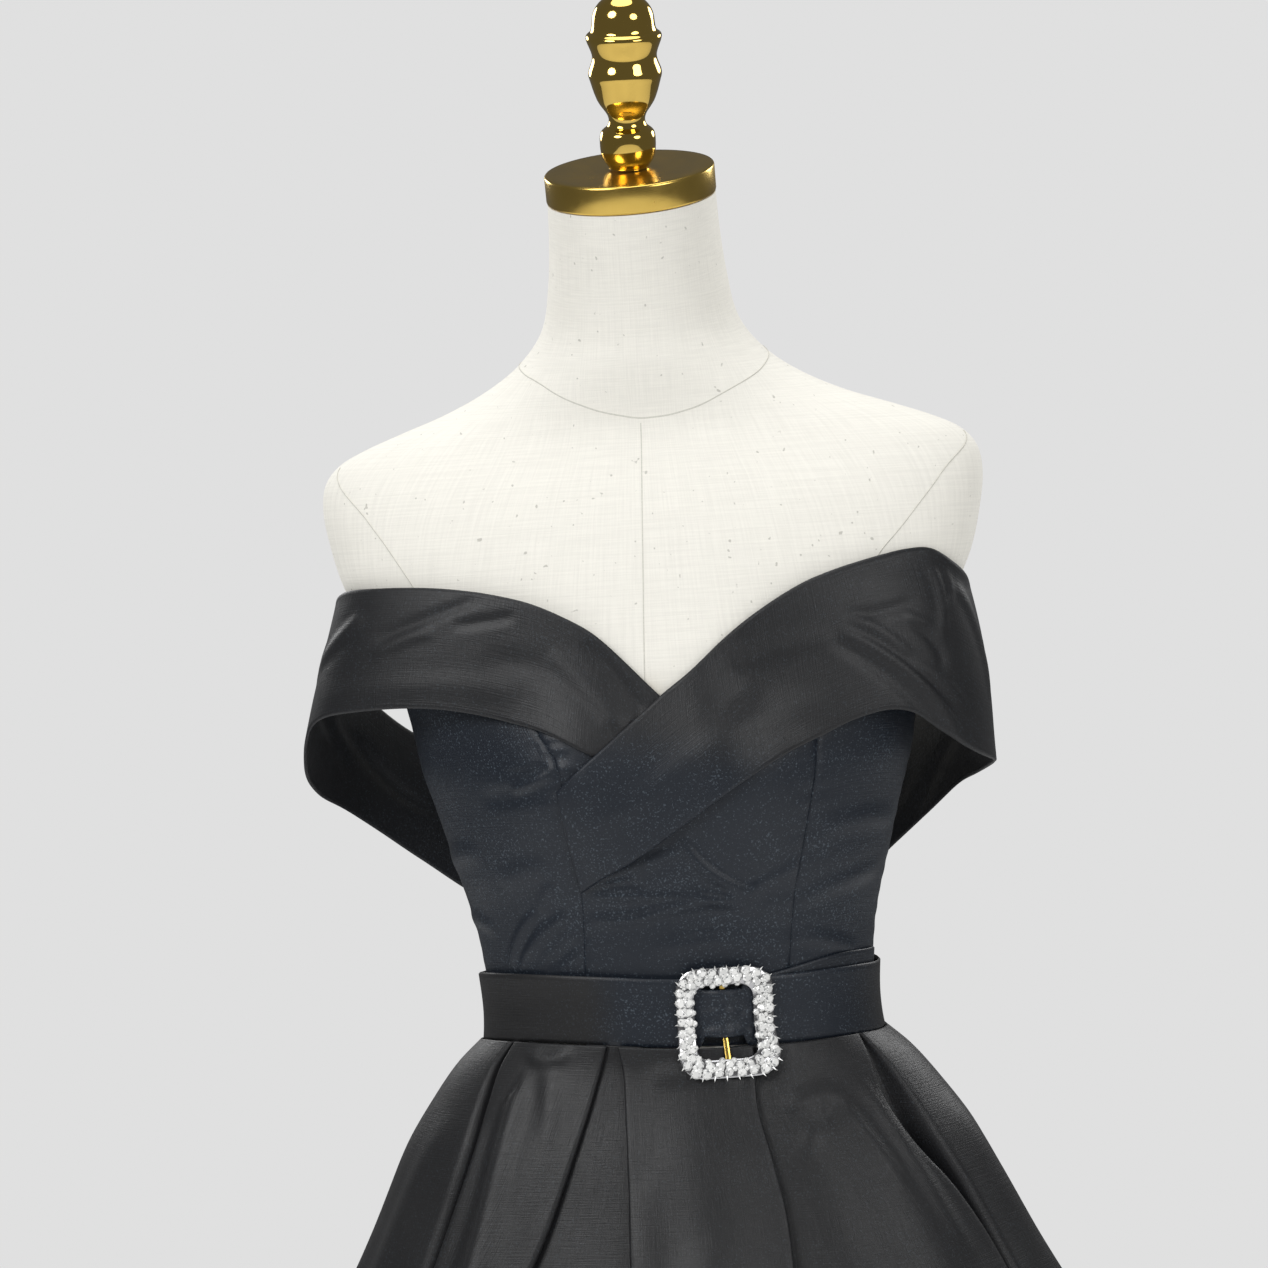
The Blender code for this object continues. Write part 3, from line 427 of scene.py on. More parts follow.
SKIRT_CREASES = (
    Crease(-54, -46, -50, -110, -47, -330, 9.0, 4.0),
    Crease(-48, -330, -46, -500, -45, -720, 16.0, 5.0),
    Crease(-58, -60, -56, -130, -54, -300, 10.0, -2.0),
    Crease(-53, -24, -47, -30, -38, -24, 5.0, 1.6),
    Crease(-46, -34, -42, -52, -40, -74, 6.0, 1.2),
    Crease(-10, -37, 8, -35, 25, -41, 8.0, 1.4),
    Crease(-12, -90, -6, -240, -3, -520, 22.0, 3.4),
    Crease(6, -120, 10, -300, 12, -700, 30.0, 3.6),
    Crease(30, -62, 40, -54, 52, -46, 5.0, 2.0),
    Crease(31, -105, 38, -80, 49, -50, 6.0, 2.2),
    Crease(32, -80, 42, -66, 54, -56, 5.0, -1.6),
    Crease(51, -46, 54, -73, 58, -104, 7.0, 1.8),
    Crease(60, -44, 63, -90, 66, -150, 7.0, 2.0),
    Crease(40, -130, 44, -330, 46, -700, 26.0, 4.0),
    Crease(58, -150, 60, -400, 62, -715, 24.0, -3.4),
    Crease(-72, -60, -76, -200, -78, -420, 16.0, 3.0),
    Crease(-84, -120, -86, -380, -86, -700, 28.0, 3.6),
    Crease(84, -60, 88, -240, 90, -520, 22.0, 3.4),
    Crease(104, -90, 106, -340, 108, -700, 26.0, 4.4),
    Crease(-104, -90, -108, -340, -108, -700, 26.0, 4.4),
    Crease(132, -70, 133, -300, 133, -690, 20.0, 3.4),
    Crease(-132, -70, -133, -300, -133, -690, 20.0, 3.4),
    Crease(177, -60, 176, -320, 176, -700, 26.0, 3.2),
)


def columns_at(rows, places):
    """The table's columns at the places, on smooth curves. The first column is the place."""
    ordered = sorted(rows)
    table = np.array(ordered, dtype=float)
    x = table[:, 0]
    at = np.clip(np.asarray(places, dtype=float), x[0], x[-1])
    last = len(x) - 1
    here = np.clip(np.searchsorted(x, at, side="right") - 1, 0, last - 1)
    before = np.maximum(here - 1, 0)
    after = here + 1
    beyond = np.minimum(here + 2, last)
    span = x[after] - x[here]
    t = (at - x[here]) / span
    values = []
    for v in table.T:
        slope_here = (v[after] - v[before]) / (x[after] - x[before]) * span
        slope_after = (v[beyond] - v[here]) / (x[beyond] - x[here]) * span
        values.append(
            (2 * t**3 - 3 * t**2 + 1) * v[here]
            + (t**3 - 2 * t**2 + t) * slope_here
            + (3 * t**2 - 2 * t**3) * v[after]
            + (t**3 - t**2) * slope_after
        )
    return type(ordered[0])(*values)


def smooth_step(t):
    t = np.clip(t, 0.0, 1.0)
    return t * t * (3 - 2 * t)


def mix(a, b, t):
    return a + (b - a) * t


def oval(azimuth, half_width, front, back, square):
    across = np.abs(np.sin(np.radians(azimuth)))
    ahead = np.cos(np.radians(azimuth))
    depth = np.where(ahead > 0, front, back)
    return ((across / half_width) ** square + (np.abs(ahead) / depth) ** square) ** (-1 / square)


def bust(azimuth, height):
    level = np.exp(-(((height - BUST_HEIGHT) / BUST_RISE) ** 2))
    right = np.exp(-(((azimuth + BUST_AZIMUTH) / BUST_SPREAD) ** 2))
    left = np.exp(-(((azimuth - BUST_AZIMUTH) / BUST_SPREAD) ** 2))
    return BUST_OUT * (right + left) * level


def form_radius(azimuth, height):
    s = columns_at(FORM, height)
    return oval(azimuth, s.half_width, s.front, s.back, s.square) + bust(azimuth, height)


def world(azimuth, radius, height):
    """Points in metres from azimuths, radii and heights."""
    a = np.radians(azimuth)
    x, y, z = np.broadcast_arrays(radius * np.sin(a), -radius * np.cos(a), height)
    return np.stack((x * MM, y * MM, WAIST + z * MM), axis=-1)


def creased(azimuth, height, radius, creases):
    """How far each point of a grid stands out or sinks under its creases, in mm."""
    out = np.zeros_like(radius)
    for c in creases:
        near = np.argmin((azimuth - c.azimuth_mid) ** 2 + (height - c.height_mid) ** 2)
        per_degree = math.radians(1) * radius.flat[near]
        x = (azimuth - c.azimuth_mid) * per_degree
        y = height - c.height_mid
        start = np.array(((c.azimuth - c.azimuth_mid) * per_degree, c.height - c.height_mid))
        end = np.array(((c.azimuth_end - c.azimuth_mid) * per_degree, c.height_end - c.height_mid))
        control = -(start + end) / 2
        t = np.linspace(0, 1, 13)[:, None]
        line = (1 - t) ** 2 * start + 2 * t * (1 - t) * control + t**2 * end
        closest = np.full(x.shape, np.inf)
        along = np.zeros_like(x)
        for k, (a, b) in enumerate(zip(line, line[1:])):
            d = b - a
            s = np.clip(((x - a[0]) * d[0] + (y - a[1]) * d[1]) / (d @ d), 0, 1)
            away = np.hypot(x - a[0] - s * d[0], y - a[1] - s * d[1])
            nearer = away < closest
            closest = np.where(nearer, away, closest)
            along = np.where(nearer, (k + s) / 12, along)
        q = closest / c.width
        taper = 1 - (2 * along - 1) ** 4
        out += c.depth * (1 - 0.8 * q**2) * np.exp(-(q**2)) * taper
    return out


# Meshes.
def outward(grid, ring):
    """Unit normals of a grid of points whose rows go up and whose columns go to the wearer's left."""
    up = np.gradient(grid, axis=0)
    if ring:
        along = np.roll(grid, -1, axis=1) - np.roll(grid, 1, axis=1)
    else:
        along = np.gradient(grid, axis=1)
    normal = np.cross(along, up)
    return normal / np.maximum(np.linalg.norm(normal, axis=-1, keepdims=True), 1e-12)


def grid_faces(rows, columns, ring):
    i, j = np.meshgrid(np.arange(rows - 1), np.arange(columns if ring else columns - 1), indexing="ij")
    k = (j + 1) % columns
    corners = (i * columns + j, i * columns + k, (i + 1) * columns + k, (i + 1) * columns + j)
    return np.stack(corners, axis=-1).reshape(-1, 4)


def cloth_sizes(grid):
    """Lengths along the rows and up the columns from the first point, averaged over the grid."""
    along = np.linalg.norm(np.diff(grid, axis=1), axis=-1).mean(axis=0)
    up = np.linalg.norm(np.diff(grid, axis=0), axis=-1).mean(axis=1)
    return np.concatenate(([0], np.cumsum(along))), np.concatenate(([0], np.cumsum(up)))


def add_mesh(name, points, faces, finish, uv=None, values=None, smooth=40.0):
    mesh = bpy.data.meshes.new(name)
    mesh.from_pydata(np.asarray(points).tolist(), [], [list(map(int, f)) for f in faces])
    if smooth:
        mesh.shade_smooth()
        mesh.set_sharp_from_angle(angle=math.radians(smooth))
    if uv is not None:
        corners = np.empty(len(mesh.loops), dtype=np.int32)
        mesh.loops.foreach_get("vertex_index", corners)
        layer = mesh.uv_layers.new(name="cloth")
        layer.uv.foreach_set("vector", np.asarray(uv, dtype=np.float32)[corners].ravel())
    for key, value in (values or {}).items():
        attribute = mesh.attributes.new(key, "FLOAT", "POINT")
        attribute.data.foreach_set("value", np.asarray(value, dtype=np.float32))
    mesh.materials.append(finish)
    mesh.validate()
    obj = bpy.data.objects.new(name, mesh)
    bpy.context.scene.collection.objects.link(obj)
    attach(obj, "root")
    return obj


def add_cloth(name, middle, thickness, finish, ring=False, navy=None):
    """A closed sheet with rounded rims round a grid of points that lies in the cloth's middle."""
    rows, columns = middle.shape[:2]
    normal = outward(middle, ring)
    half = thickness * MM / 2
    outer = (middle + normal * half).reshape(-1, 3)
    inner = (middle - normal * half).reshape(-1, 3)
    count = rows * columns
    faces = grid_faces(rows, columns, ring)
    if ring:
        bottom = [(0, j) for j in range(columns)] + [(0, 0)]
        top = [(rows - 1, j) for j in range(columns - 1, -1, -1)] + [(rows - 1, columns - 1)]
        loops = [bottom, top]
    else:
        loop = [(0, j) for j in range(columns)]
        loop += [(i, columns - 1) for i in range(1, rows)]
        loop += [(rows - 1, j) for j in range(columns - 2, -1, -1)]
        loop += [(i, 0) for i in range(rows - 2, -1, -1)]
        loops = [loop]
    rim_points = []
    rim_faces = []
    rim_from = []
    for loop in loops:
        first = 2 * count + len(rim_points)
        size = len(loop) - 1
        for i, j in loop[:-1]:
            inside = (min(max(i, 1), rows - 2), j if ring else min(max(j, 1), columns - 2))
            away = middle[i, j] - middle[inside]
            away = away / max(np.linalg.norm(away), 1e-9)
            rim_points.append(middle[i, j] + away * half * 0.9)
            rim_from.append(i * columns + j)
        for k in range(size):
            n = (k + 1) % size
            a = loop[k][0] * columns + loop[k][1]
            b = loop[k + 1][0] * columns + loop[k + 1][1]
            rim_faces.append((b, a, first + k, first + n))
            rim_faces.append((first + n, first + k, a + count, b + count))
    points = np.concatenate((outer, inner, np.array(rim_points)))
    all_faces = np.concatenate((faces, faces[:, ::-1] + count, np.array(rim_faces)))
    u, v = cloth_sizes(middle)
    uv = np.stack(np.meshgrid(u, v), axis=-1).reshape(-1, 2)
    order = np.concatenate((np.arange(count), np.arange(count), np.array(rim_from)))
    values = {}
    # Painted blue sheen: a value per point that tints the satin navy where its sheen looks blue.
    if navy is not None:
        values["navy"] = np.broadcast_to(navy, (rows, columns)).reshape(-1)[order]
    obj = add_mesh(name, points, all_faces, finish, uv[order], values, smooth=60.0)
    SIZES[name] = (float(u[-1]), float(v[-1]), float(sheet_area(middle, ring)))
    return obj


SIZES = {}


def sheet_area(grid, ring):
    if ring:
        grid = np.concatenate((grid, grid[:, :1]), axis=1)
    a = grid[1:, :-1] - grid[:-1, :-1]
    b = grid[:-1, 1:] - grid[:-1, :-1]
    return np.linalg.norm(np.cross(a, b), axis=-1).sum()


def add_turned(name, profile, sides, place_at, finish, smooth=35.0):
    """A turned body from (radius, height) rows, bottom first, closed at the axis at both ends."""
    rows = np.array(profile, dtype=float)
    a = np.radians(np.arange(sides) * 360 / sides)
    ring = np.stack((np.cos(a), np.sin(a)), axis=-1)
    points = []
    for radius, height in rows:
        points.append(np.concatenate((ring * radius, np.full((sides, 1), height)), axis=1))
    points = np.concatenate(points) * MM
    faces = grid_faces(len(rows), sides, True).tolist()
    faces.append(list(range(sides - 1, -1, -1)))
    faces.append([(len(rows) - 1) * sides + k for k in range(sides)])
    turned = np.array(place_at.to_3x3()) @ points.T
    points = turned.T + np.array(place_at.translation)
    return add_mesh(name, points, faces, finish, smooth=smooth)


def add_line(name, surface, azimuth, height, width, thickness, finish):
    """A flat strip of the given width laid over a surface along a line, standing out by its thickness."""
    path = surface(azimuth, height)
    outwards = surface(azimuth, height, 1.0) - path
    outwards /= np.linalg.norm(outwards, axis=-1, keepdims=True)
    along = np.gradient(path, axis=0)
    side = np.cross(along, outwards)
    side /= np.linalg.norm(side, axis=-1, keepdims=True)
    points = []
    for across, out in ((-1, -1), (-1, 0.4), (0, 1), (1, 0.4), (1, -1)):
        points.append(path + side * across * width * MM / 2 + outwards * out * thickness * MM)
    grid = np.stack(points, axis=0)
    count = grid.shape[1]
    faces = grid_faces(5, count, False).tolist()
    for k in range(count - 1):
        faces.append([4 * count + k, 4 * count + k + 1, k + 1, k])
    faces.append([r * count for r in range(4, -1, -1)])
    faces.append([r * count + count - 1 for r in range(5)])
    return add_mesh(name, grid.reshape(-1, 3), faces, finish)


# Finishes.
def node(tree, kind, settings=None, values=None):
    """A new node with its settings, and with a number, a colour or another socket on each input."""
    made = tree.nodes.new(kind)
    for key, value in (settings or {}).items():
        setattr(made, key, value)
    for key, value in (values or {}).items():
        if isinstance(value, bpy.types.NodeSocket):
            tree.links.new(value, made.inputs[key])
        else:
            made.inputs[key].default_value = value
    return made


def new_group(name, inputs, outputs):
    """A shader node group with number inputs, given as name to value, and number outputs."""
    tree = bpy.data.node_groups.new(name, "ShaderNodeTree")
    for key, value in inputs.items():
        kind = "NodeSocketVector" if value is None else "NodeSocketFloat"
        socket = tree.interface.new_socket(name=key, in_out="INPUT", socket_type=kind)
        if value is not None:
            socket.default_value = value
    for key in outputs:
        tree.interface.new_socket(name=key, in_out="OUTPUT", socket_type="NodeSocketFloat")
    entry = tree.nodes.new("NodeGroupInput").outputs
    leave = tree.nodes.new("NodeGroupOutput").inputs
    return tree, entry, leave


def build_painted_glints():
    """Painted glints: fine bright points of light painted into the satin's colour, in patches."""
    tree, entry, leave = new_group("painted_glints", {"Vector": None, "Size mm": 1.0, "Share": 0.4}, ("Mask",))
    scale = node(tree, "ShaderNodeMath", {"operation": "DIVIDE"}, {0: 1000.0, 1: entry["Size mm"]})
    fine = node(
        tree,
        "ShaderNodeTexNoise",
        {"noise_dimensions": "3D"},
        {"Vector": entry["Vector"], "Scale": scale.outputs[0], "Detail": 1.5, "Roughness": 0.6},
    )
    patches = node(
        tree,
        "ShaderNodeTexNoise",
        {"noise_dimensions": "3D"},
        {"Vector": entry["Vector"], "Scale": 28.0, "Detail": 3.0, "Roughness": 0.6},
    )
    lift = node(
        tree,
        "ShaderNodeMath",
        {"operation": "MULTIPLY_ADD"},
        {0: patches.outputs["Fac"], 1: 0.22, 2: -0.11},
    )
    raised = node(
        tree, "ShaderNodeMath", {"operation": "ADD"}, {0: fine.outputs["Fac"], 1: lift.outputs[0]}
    )
    floor = node(
        tree, "ShaderNodeMath", {"operation": "MULTIPLY_ADD"}, {0: entry["Share"], 1: -0.3, 2: 0.72}
    )
    top = node(tree, "ShaderNodeMath", {"operation": "ADD"}, {0: floor.outputs[0], 1: 0.13})
    mask = node(
        tree,
        "ShaderNodeMapRange",
        {"interpolation_type": "SMOOTHSTEP"},
        {"Value": raised.outputs[0], "From Min": floor.outputs[0], "From Max": top.outputs[0]},
    )
    tree.links.new(mask.outputs[0], leave["Mask"])
    return tree


def build_weave():
    """Threads up and across the cloth, from its own sizes, as a height and a shade."""
    inputs = {"Vector": None, "Thread mm": 0.6, "Unevenness": 0.5}
    tree, entry, leave = new_group("weave", inputs, ("Height", "Shade"))
    density = node(tree, "ShaderNodeMath", {"operation": "DIVIDE"}, {0: 1000.0, 1: entry["Thread mm"]})
    slow = node(tree, "ShaderNodeMath", {"operation": "MULTIPLY"}, {0: density.outputs[0], 1: 0.03})
    threads = []
    for across, up in ((density, slow), (slow, density)):
        stretch = node(tree, "ShaderNodeCombineXYZ", None, {0: across.outputs[0], 1: up.outputs[0], 2: 0.0})
        scaled = node(
            tree,
            "ShaderNodeVectorMath",
            {"operation": "MULTIPLY"},
            {0: entry["Vector"], 1: stretch.outputs[0]},
        )
        noise = node(
            tree,
            "ShaderNodeTexNoise",
            {"noise_dimensions": "2D"},
            {"Vector": scaled.outputs[0], "Scale": 1.0, "Detail": 2.0, "Roughness": 0.7},
        )
        threads.append(noise.outputs["Fac"])
    both = node(tree, "ShaderNodeMath", {"operation": "ADD"}, {0: threads[0], 1: threads[1]})
    tree.links.new(both.outputs[0], leave["Height"])
    shade = node(
        tree,
        "ShaderNodeMapRange",
        None,
        {"Value": both.outputs[0], "From Min": 0.7, "From Max": 1.25, "To Min": 0.0, "To Max": 1.0},
    )
    uneven = node(
        tree,
        "ShaderNodeMath",
        {"operation": "MULTIPLY"},
        {0: shade.outputs[0], 1: entry["Unevenness"]},
    )
    tree.links.new(uneven.outputs[0], leave["Shade"])
    return tree


PAINTED_GLINTS = build_painted_glints()
WEAVE = build_weave()


def new_finish(name, colour, roughness, metallic=0.0):
    made = bpy.data.materials.new(name)
    made.use_nodes = True
    tree = made.node_tree
    shader = tree.nodes["Principled BSDF"]
    shader.inputs["Base Color"].default_value = (*colour, 1.0)
    shader.inputs["Roughness"].default_value = roughness
    shader.inputs["Metallic"].default_value = metallic
    made.diffuse_color = (*colour, 1.0)
    return made, tree, shader


def placed_group(tree, group, values):
    made = tree.nodes.new("ShaderNodeGroup")
    made.node_tree = group
    for key, value in values.items():
        if isinstance(value, bpy.types.NodeSocket):
            tree.links.new(value, made.inputs[key])
        else:
            made.inputs[key].default_value = value
    return made


def mixed(tree, factor, a, b):
    """A colour between a and b, each a colour or a socket."""
    made = tree.nodes.new("ShaderNodeMix")
    made.data_type = "RGBA"
    for socket, value in ((made.inputs[0], factor), (made.inputs[6], a), (made.inputs[7], b)):
        if isinstance(value, bpy.types.NodeSocket):
            tree.links.new(value, socket)
        elif isinstance(value, tuple):
            socket.default_value = (*value, 1.0)
        else:
            socket.default_value = value
    return made.outputs[2]


CHARCOAL = (0.0140, 0.0140, 0.0150)
# Navy tint painted as the satin's blue sheen.
PAINTED_SHEEN_NAVY = (0.0085, 0.0130, 0.0215)
# Colour of the painted glints, bright points of light painted on the satin.
PAINTED_GLINT_COLOUR = (0.085, 0.11, 0.135)


def satin_finish(name):
    """Heavy satin, charcoal where the painted blue sheen value is 0, and tinted navy as painted blue sheen,
    with more painted points of light, where it is 1.
    """
    made, tree, shader = new_finish(name, CHARCOAL, 0.4)
    where = node(tree, "ShaderNodeTexCoord")
    navy = node(tree, "ShaderNodeAttribute", {"attribute_name": "navy"})
    uneven = node(
        tree,
        "ShaderNodeTexNoise",
        None,
        {"Vector": where.outputs["Object"], "Scale": 9.0, "Detail": 3.0, "Roughness": 0.55},
    )
    cloudy = mixed(tree, uneven.outputs["Fac"], (0.0085, 0.0085, 0.0095), (0.0165, 0.0163, 0.0170))
    # navy tint painted as blue sheen, as far as the painted blue sheen value says
    ground = mixed(tree, navy.outputs["Fac"], cloudy, PAINTED_SHEEN_NAVY)
    painted_glints = placed_group(
        tree, PAINTED_GLINTS, {"Vector": where.outputs["Object"], "Size mm": 1.15, "Share": 0.46}
    )
    # more painted glints where the blue sheen is painted
    painted_glint_strength = node(
        tree,
        "ShaderNodeMath",
        {"operation": "MULTIPLY_ADD"},
        {0: navy.outputs["Fac"], 1: 0.50, 2: 0.14},
    )
    painted_glint_mask = node(
        tree,
        "ShaderNodeMath",
        {"operation": "MULTIPLY"},
        {0: painted_glints.outputs["Mask"], 1: painted_glint_strength.outputs[0]},
    )
    # painted glints mixed into the satin's base colour
    colour = mixed(tree, painted_glint_mask.outputs[0], ground, PAINTED_GLINT_COLOUR)
    tree.links.new(colour, shader.inputs["Base Color"])
    rough = node(
        tree,
        "ShaderNodeMapRange",
        None,
        {"Value": uneven.outputs["Fac"], "From Min": 0.3, "From Max": 0.7, "To Min": 0.40, "To Max": 0.50},
    )
    tree.links.new(rough.outputs[0], shader.inputs["Roughness"])
    cloth = node(tree, "ShaderNodeUVMap", {"uv_map": "cloth"})
    weave = placed_group(tree, WEAVE, {"Vector": cloth.outputs[0], "Thread mm": 0.9, "Unevenness": 0.3})
    bump = node(
        tree,
        "ShaderNodeBump",
        None,
        {"Strength": 0.45, "Distance": 0.0003, "Height": weave.outputs["Height"]},
    )
    tree.links.new(bump.outputs[0], shader.inputs["Normal"])
    return made


def linen_finish(name, colour, threads):
    """Fine linen with uneven threads, a few dark slubs and a faint stain where its value says."""
    made, tree, shader = new_finish(name, colour, 0.9)
    cloth = node(tree, "ShaderNodeUVMap", {"uv_map": "cloth"})
    weave = placed_group(
        tree, WEAVE, {"Vector": cloth.outputs[0], "Thread mm": 1.3, "Unevenness": threads}
    )
    dark = tuple(c * 0.86 for c in colour)
    woven = mixed(tree, weave.outputs["Shade"], colour, dark)
    where = node(tree, "ShaderNodeTexCoord")
    slub = node(
        tree,
        "ShaderNodeTexNoise",
        None,
        {"Vector": where.outputs["Object"], "Scale": 260.0, "Detail": 1.0, "Roughness": 0.5},
    )
    sparse = node(
        tree,
        "ShaderNodeMapRange",
        None,
        {"Value": slub.outputs["Fac"], "From Min": 0.735, "From Max": 0.78, "To Min": 0.0, "To Max": 0.5},
    )
    spotted = mixed(tree, sparse.outputs[0], woven, (0.30, 0.29, 0.25))
    stain = node(tree, "ShaderNodeAttribute", {"attribute_name": "stain"})
    stained = mixed(tree, stain.outputs["Fac"], spotted, (0.58, 0.50, 0.38))
    tree.links.new(stained, shader.inputs["Base Color"])
    bump = node(
        tree,
        "ShaderNodeBump",
        None,
        {"Strength": 0.35, "Distance": 0.0004, "Height": weave.outputs["Height"]},
    )
    tree.links.new(bump.outputs[0], shader.inputs["Normal"])
    shader.inputs["Specular IOR Level"].default_value = 0.2
    return made


def gold_finish(name, roughness):
    made, tree, shader = new_finish(name, (0.82, 0.56, 0.13), roughness, 1.0)
    where = node(tree, "ShaderNodeTexCoord")
    wear = node(
        tree,
        "ShaderNodeTexNoise",
        None,
        {"Vector": where.outputs["Object"], "Scale": 60.0, "Detail": 4.0, "Roughness": 0.6},
    )
    rough = node(
        tree,
        "ShaderNodeMapRange",
        None,
        {
            "Value": wear.outputs["Fac"],
            "From Min": 0.35,
            "From Max": 0.7,
            "To Min": roughness * 0.85,
            "To Max": roughness * 1.25,
        },
    )
    tree.links.new(rough.outputs[0], shader.inputs["Roughness"])
    tarnish = mixed(tree, wear.outputs["Fac"], (0.86, 0.60, 0.15), (0.81, 0.55, 0.13))
    tree.links.new(tarnish, shader.inputs["Base Color"])
    return made


def crystal_finish(name):
    """Foil-backed rhinestone with painted light: a pale base colour painted as the stones' sparkle, and a
    few facets painted dark as dark reflections, each face with its own value.
    """
    made, tree, shader = new_finish(name, (0.9, 0.9, 0.9), 0.08)
    facet = node(tree, "ShaderNodeAttribute", {"attribute_name": "facet"})
    # pale stands for painted sparkle, dark for painted dark reflections
    colour = mixed(tree, facet.outputs["Fac"], (0.97, 0.97, 0.95), (0.16, 0.17, 0.18))
    tree.links.new(colour, shader.inputs["Base Color"])
    shader.inputs["IOR"].default_value = 2.0
    shader.inputs["Coat Weight"].default_value = 0.6
    shader.inputs["Coat Roughness"].default_value = 0.03
    return made


def silver_finish(name):
    made, tree, shader = new_finish(name, (0.62, 0.62, 0.64), 0.22, 1.0)
    where = node(tree, "ShaderNodeTexCoord")
    wear = node(tree, "ShaderNodeTexNoise", None, {"Vector": where.outputs["Object"], "Scale": 400.0})
    tone = mixed(tree, wear.outputs["Fac"], (0.74, 0.74, 0.75), (0.44, 0.44, 0.46))
    tree.links.new(tone, shader.inputs["Base Color"])
    return made


def thread_finish(name, colour):
    made, tree, shader = new_finish(name, colour, 0.7)
    where = node(tree, "ShaderNodeTexCoord")
    fibre = node(tree, "ShaderNodeTexNoise", None, {"Vector": where.outputs["Object"], "Scale": 900.0})
    lighter = tuple(c * 1.5 for c in colour)
    tone = mixed(tree, fibre.outputs["Fac"], colour, lighter)
    tree.links.new(tone, shader.inputs["Base Color"])
    return made


satin = satin_finish("satin")
linen = linen_finish("linen", (0.89, 0.87, 0.80), 0.55)
linen_seam = thread_finish("linen_seam", (0.50, 0.49, 0.44))
gold = gold_finish("gold", 0.07)
gold_brushed = gold_finish("gold_brushed", 0.22)
crystal = crystal_finish("crystal")
silver = silver_finish("silver")
dark_thread = thread_finish("dark_thread", (0.012, 0.013, 0.016))


# Form and stand.
def tipped(radius, azimuth, section):
    """Points of form sections, moved forwards and tipped as the sections say."""
    a = np.radians(azimuth)
    lean = np.radians(section.lean)
    ahead = radius * np.cos(a)
    x = section.aside + radius * np.sin(a)
    y = -(section.shift + ahead * np.cos(lean))
    z = WAIST + (section.height - ahead * np.sin(lean)) * MM
    return np.stack(np.broadcast_arrays(x * MM, y * MM, z), axis=-1)


def on_form(azimuth, height, out=0.0):
    section = columns_at(FORM, height)
    radius = oval(azimuth, section.half_width, section.front, section.back, section.square)
    return tipped(radius + bust(azimuth, height) + out, azimuth, section)


TORSO_ROWS = 230
TORSO_SIDES = 216


def build_torso():
    dense = np.linspace(FORM[0].height, FORM[-1].height, 4000)
    width = columns_at(FORM, dense).half_width
    length = np.concatenate(([0], np.cumsum(np.hypot(np.diff(dense), np.diff(width)))))
    heights = np.interp(np.linspace(0, length[-1], TORSO_ROWS), length, dense)
    azimuth = np.arange(TORSO_SIDES) * 360 / TORSO_SIDES - 180
    az, high = np.meshgrid(azimuth, heights)
    grid = on_form(az, high)
    stain = 0.55 * np.exp(-(((az + 1.5) / 6) ** 2)) * np.exp(-(((high - 198) / 9) ** 2))
    u, v = cloth_sizes(grid)
    uv = np.stack(np.meshgrid(u, v), axis=-1).reshape(-1, 2)
    points = grid.reshape(-1, 3)
    faces = grid_faces(TORSO_ROWS, TORSO_SIDES, True).tolist()
    faces.append(list(range(TORSO_SIDES - 1, -1, -1)))
    faces.append([(TORSO_ROWS - 1) * TORSO_SIDES + k for k in range(TORSO_SIDES)])
    values = {"stain": stain.reshape(-1)}
    torso = add_mesh("torso", points, faces, linen, uv, values, smooth=50.0)
    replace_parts(torso, "form_torso")


# The form's seams, each with the azimuth and height of the points that its line goes through.
FormSeam = namedtuple("FormSeam", "name width points")
FORM_SEAMS = (
    FormSeam(
        "form_seam_front",
        0.7,
        ((1.5, 362), (0.6, 315), (-0.1, 279), (-1.1, 232), (-1.5, 190), (-1.5, 120)),
    ),
    FormSeam("form_seam_back", 0.7, ((180, 392), (180, 300), (180, 200), (180, 100), (180, 40))),
    FormSeam("form_seam_arm_right", 0.8, ((-86, 347), (-77.4, 318), (-73, 297), (-67.8, 270), (-64, 245))),
    FormSeam(
        "form_seam_arm_left",
        0.8,
        ((88, 346), (80.3, 327), (75.8, 308), (71.3, 289), (67.3, 275), (64, 255)),
    ),
    FormSeam(
        "form_seam_neck",
        0.9,
        (
            (-180, 408), (-140, 408), (-100, 406), (-75, 402), (-56, 394), (-40, 380), (-24, 371), (0, 365),
            (20, 366), (37, 371), (57, 386), (75, 398), (100, 406), (140, 408), (180, 408),
        ),
    ),
)


def build_form_seams():
    for seam in FORM_SEAMS:
        points = np.array(seam.points, dtype=float)
        t = np.linspace(0, len(points) - 1, 12 * len(points))
        azimuth = np.interp(t, np.arange(len(points)), points[:, 0])
        height = np.interp(t, np.arange(len(points)), points[:, 1])
        line = np.ones(9) / 9
        azimuth[4:-4] = np.convolve(azimuth, line, "valid")
        height[4:-4] = np.convolve(height, line, "valid")
        add_line(seam.name, on_form, azimuth, height, seam.width, 0.18, linen_seam)


def neck_frame(up):
    last = FORM[-1]
    tip = Matrix.Rotation(math.radians(last.lean), 4, "X")
    middle = (last.aside * MM, -last.shift * MM, WAIST + last.height * MM)
    spot = Matrix.Translation(middle) @ tip
    return spot @ Matrix.Translation((0, 0, up * MM))


def rounded_profile(rows, steps):
    """A profile of (radius, height) rows made finer along a smooth curve."""
    rows = np.array(rows, dtype=float)
    t = np.arange(len(rows))
    fine = np.linspace(0, len(rows) - 1, steps)
    Row = namedtuple("Row", "at radius height")
    table = [Row(k, *row) for k, row in zip(t, rows)]
    smooth = columns_at(table, fine)
    return list(zip(smooth.radius, smooth.height))


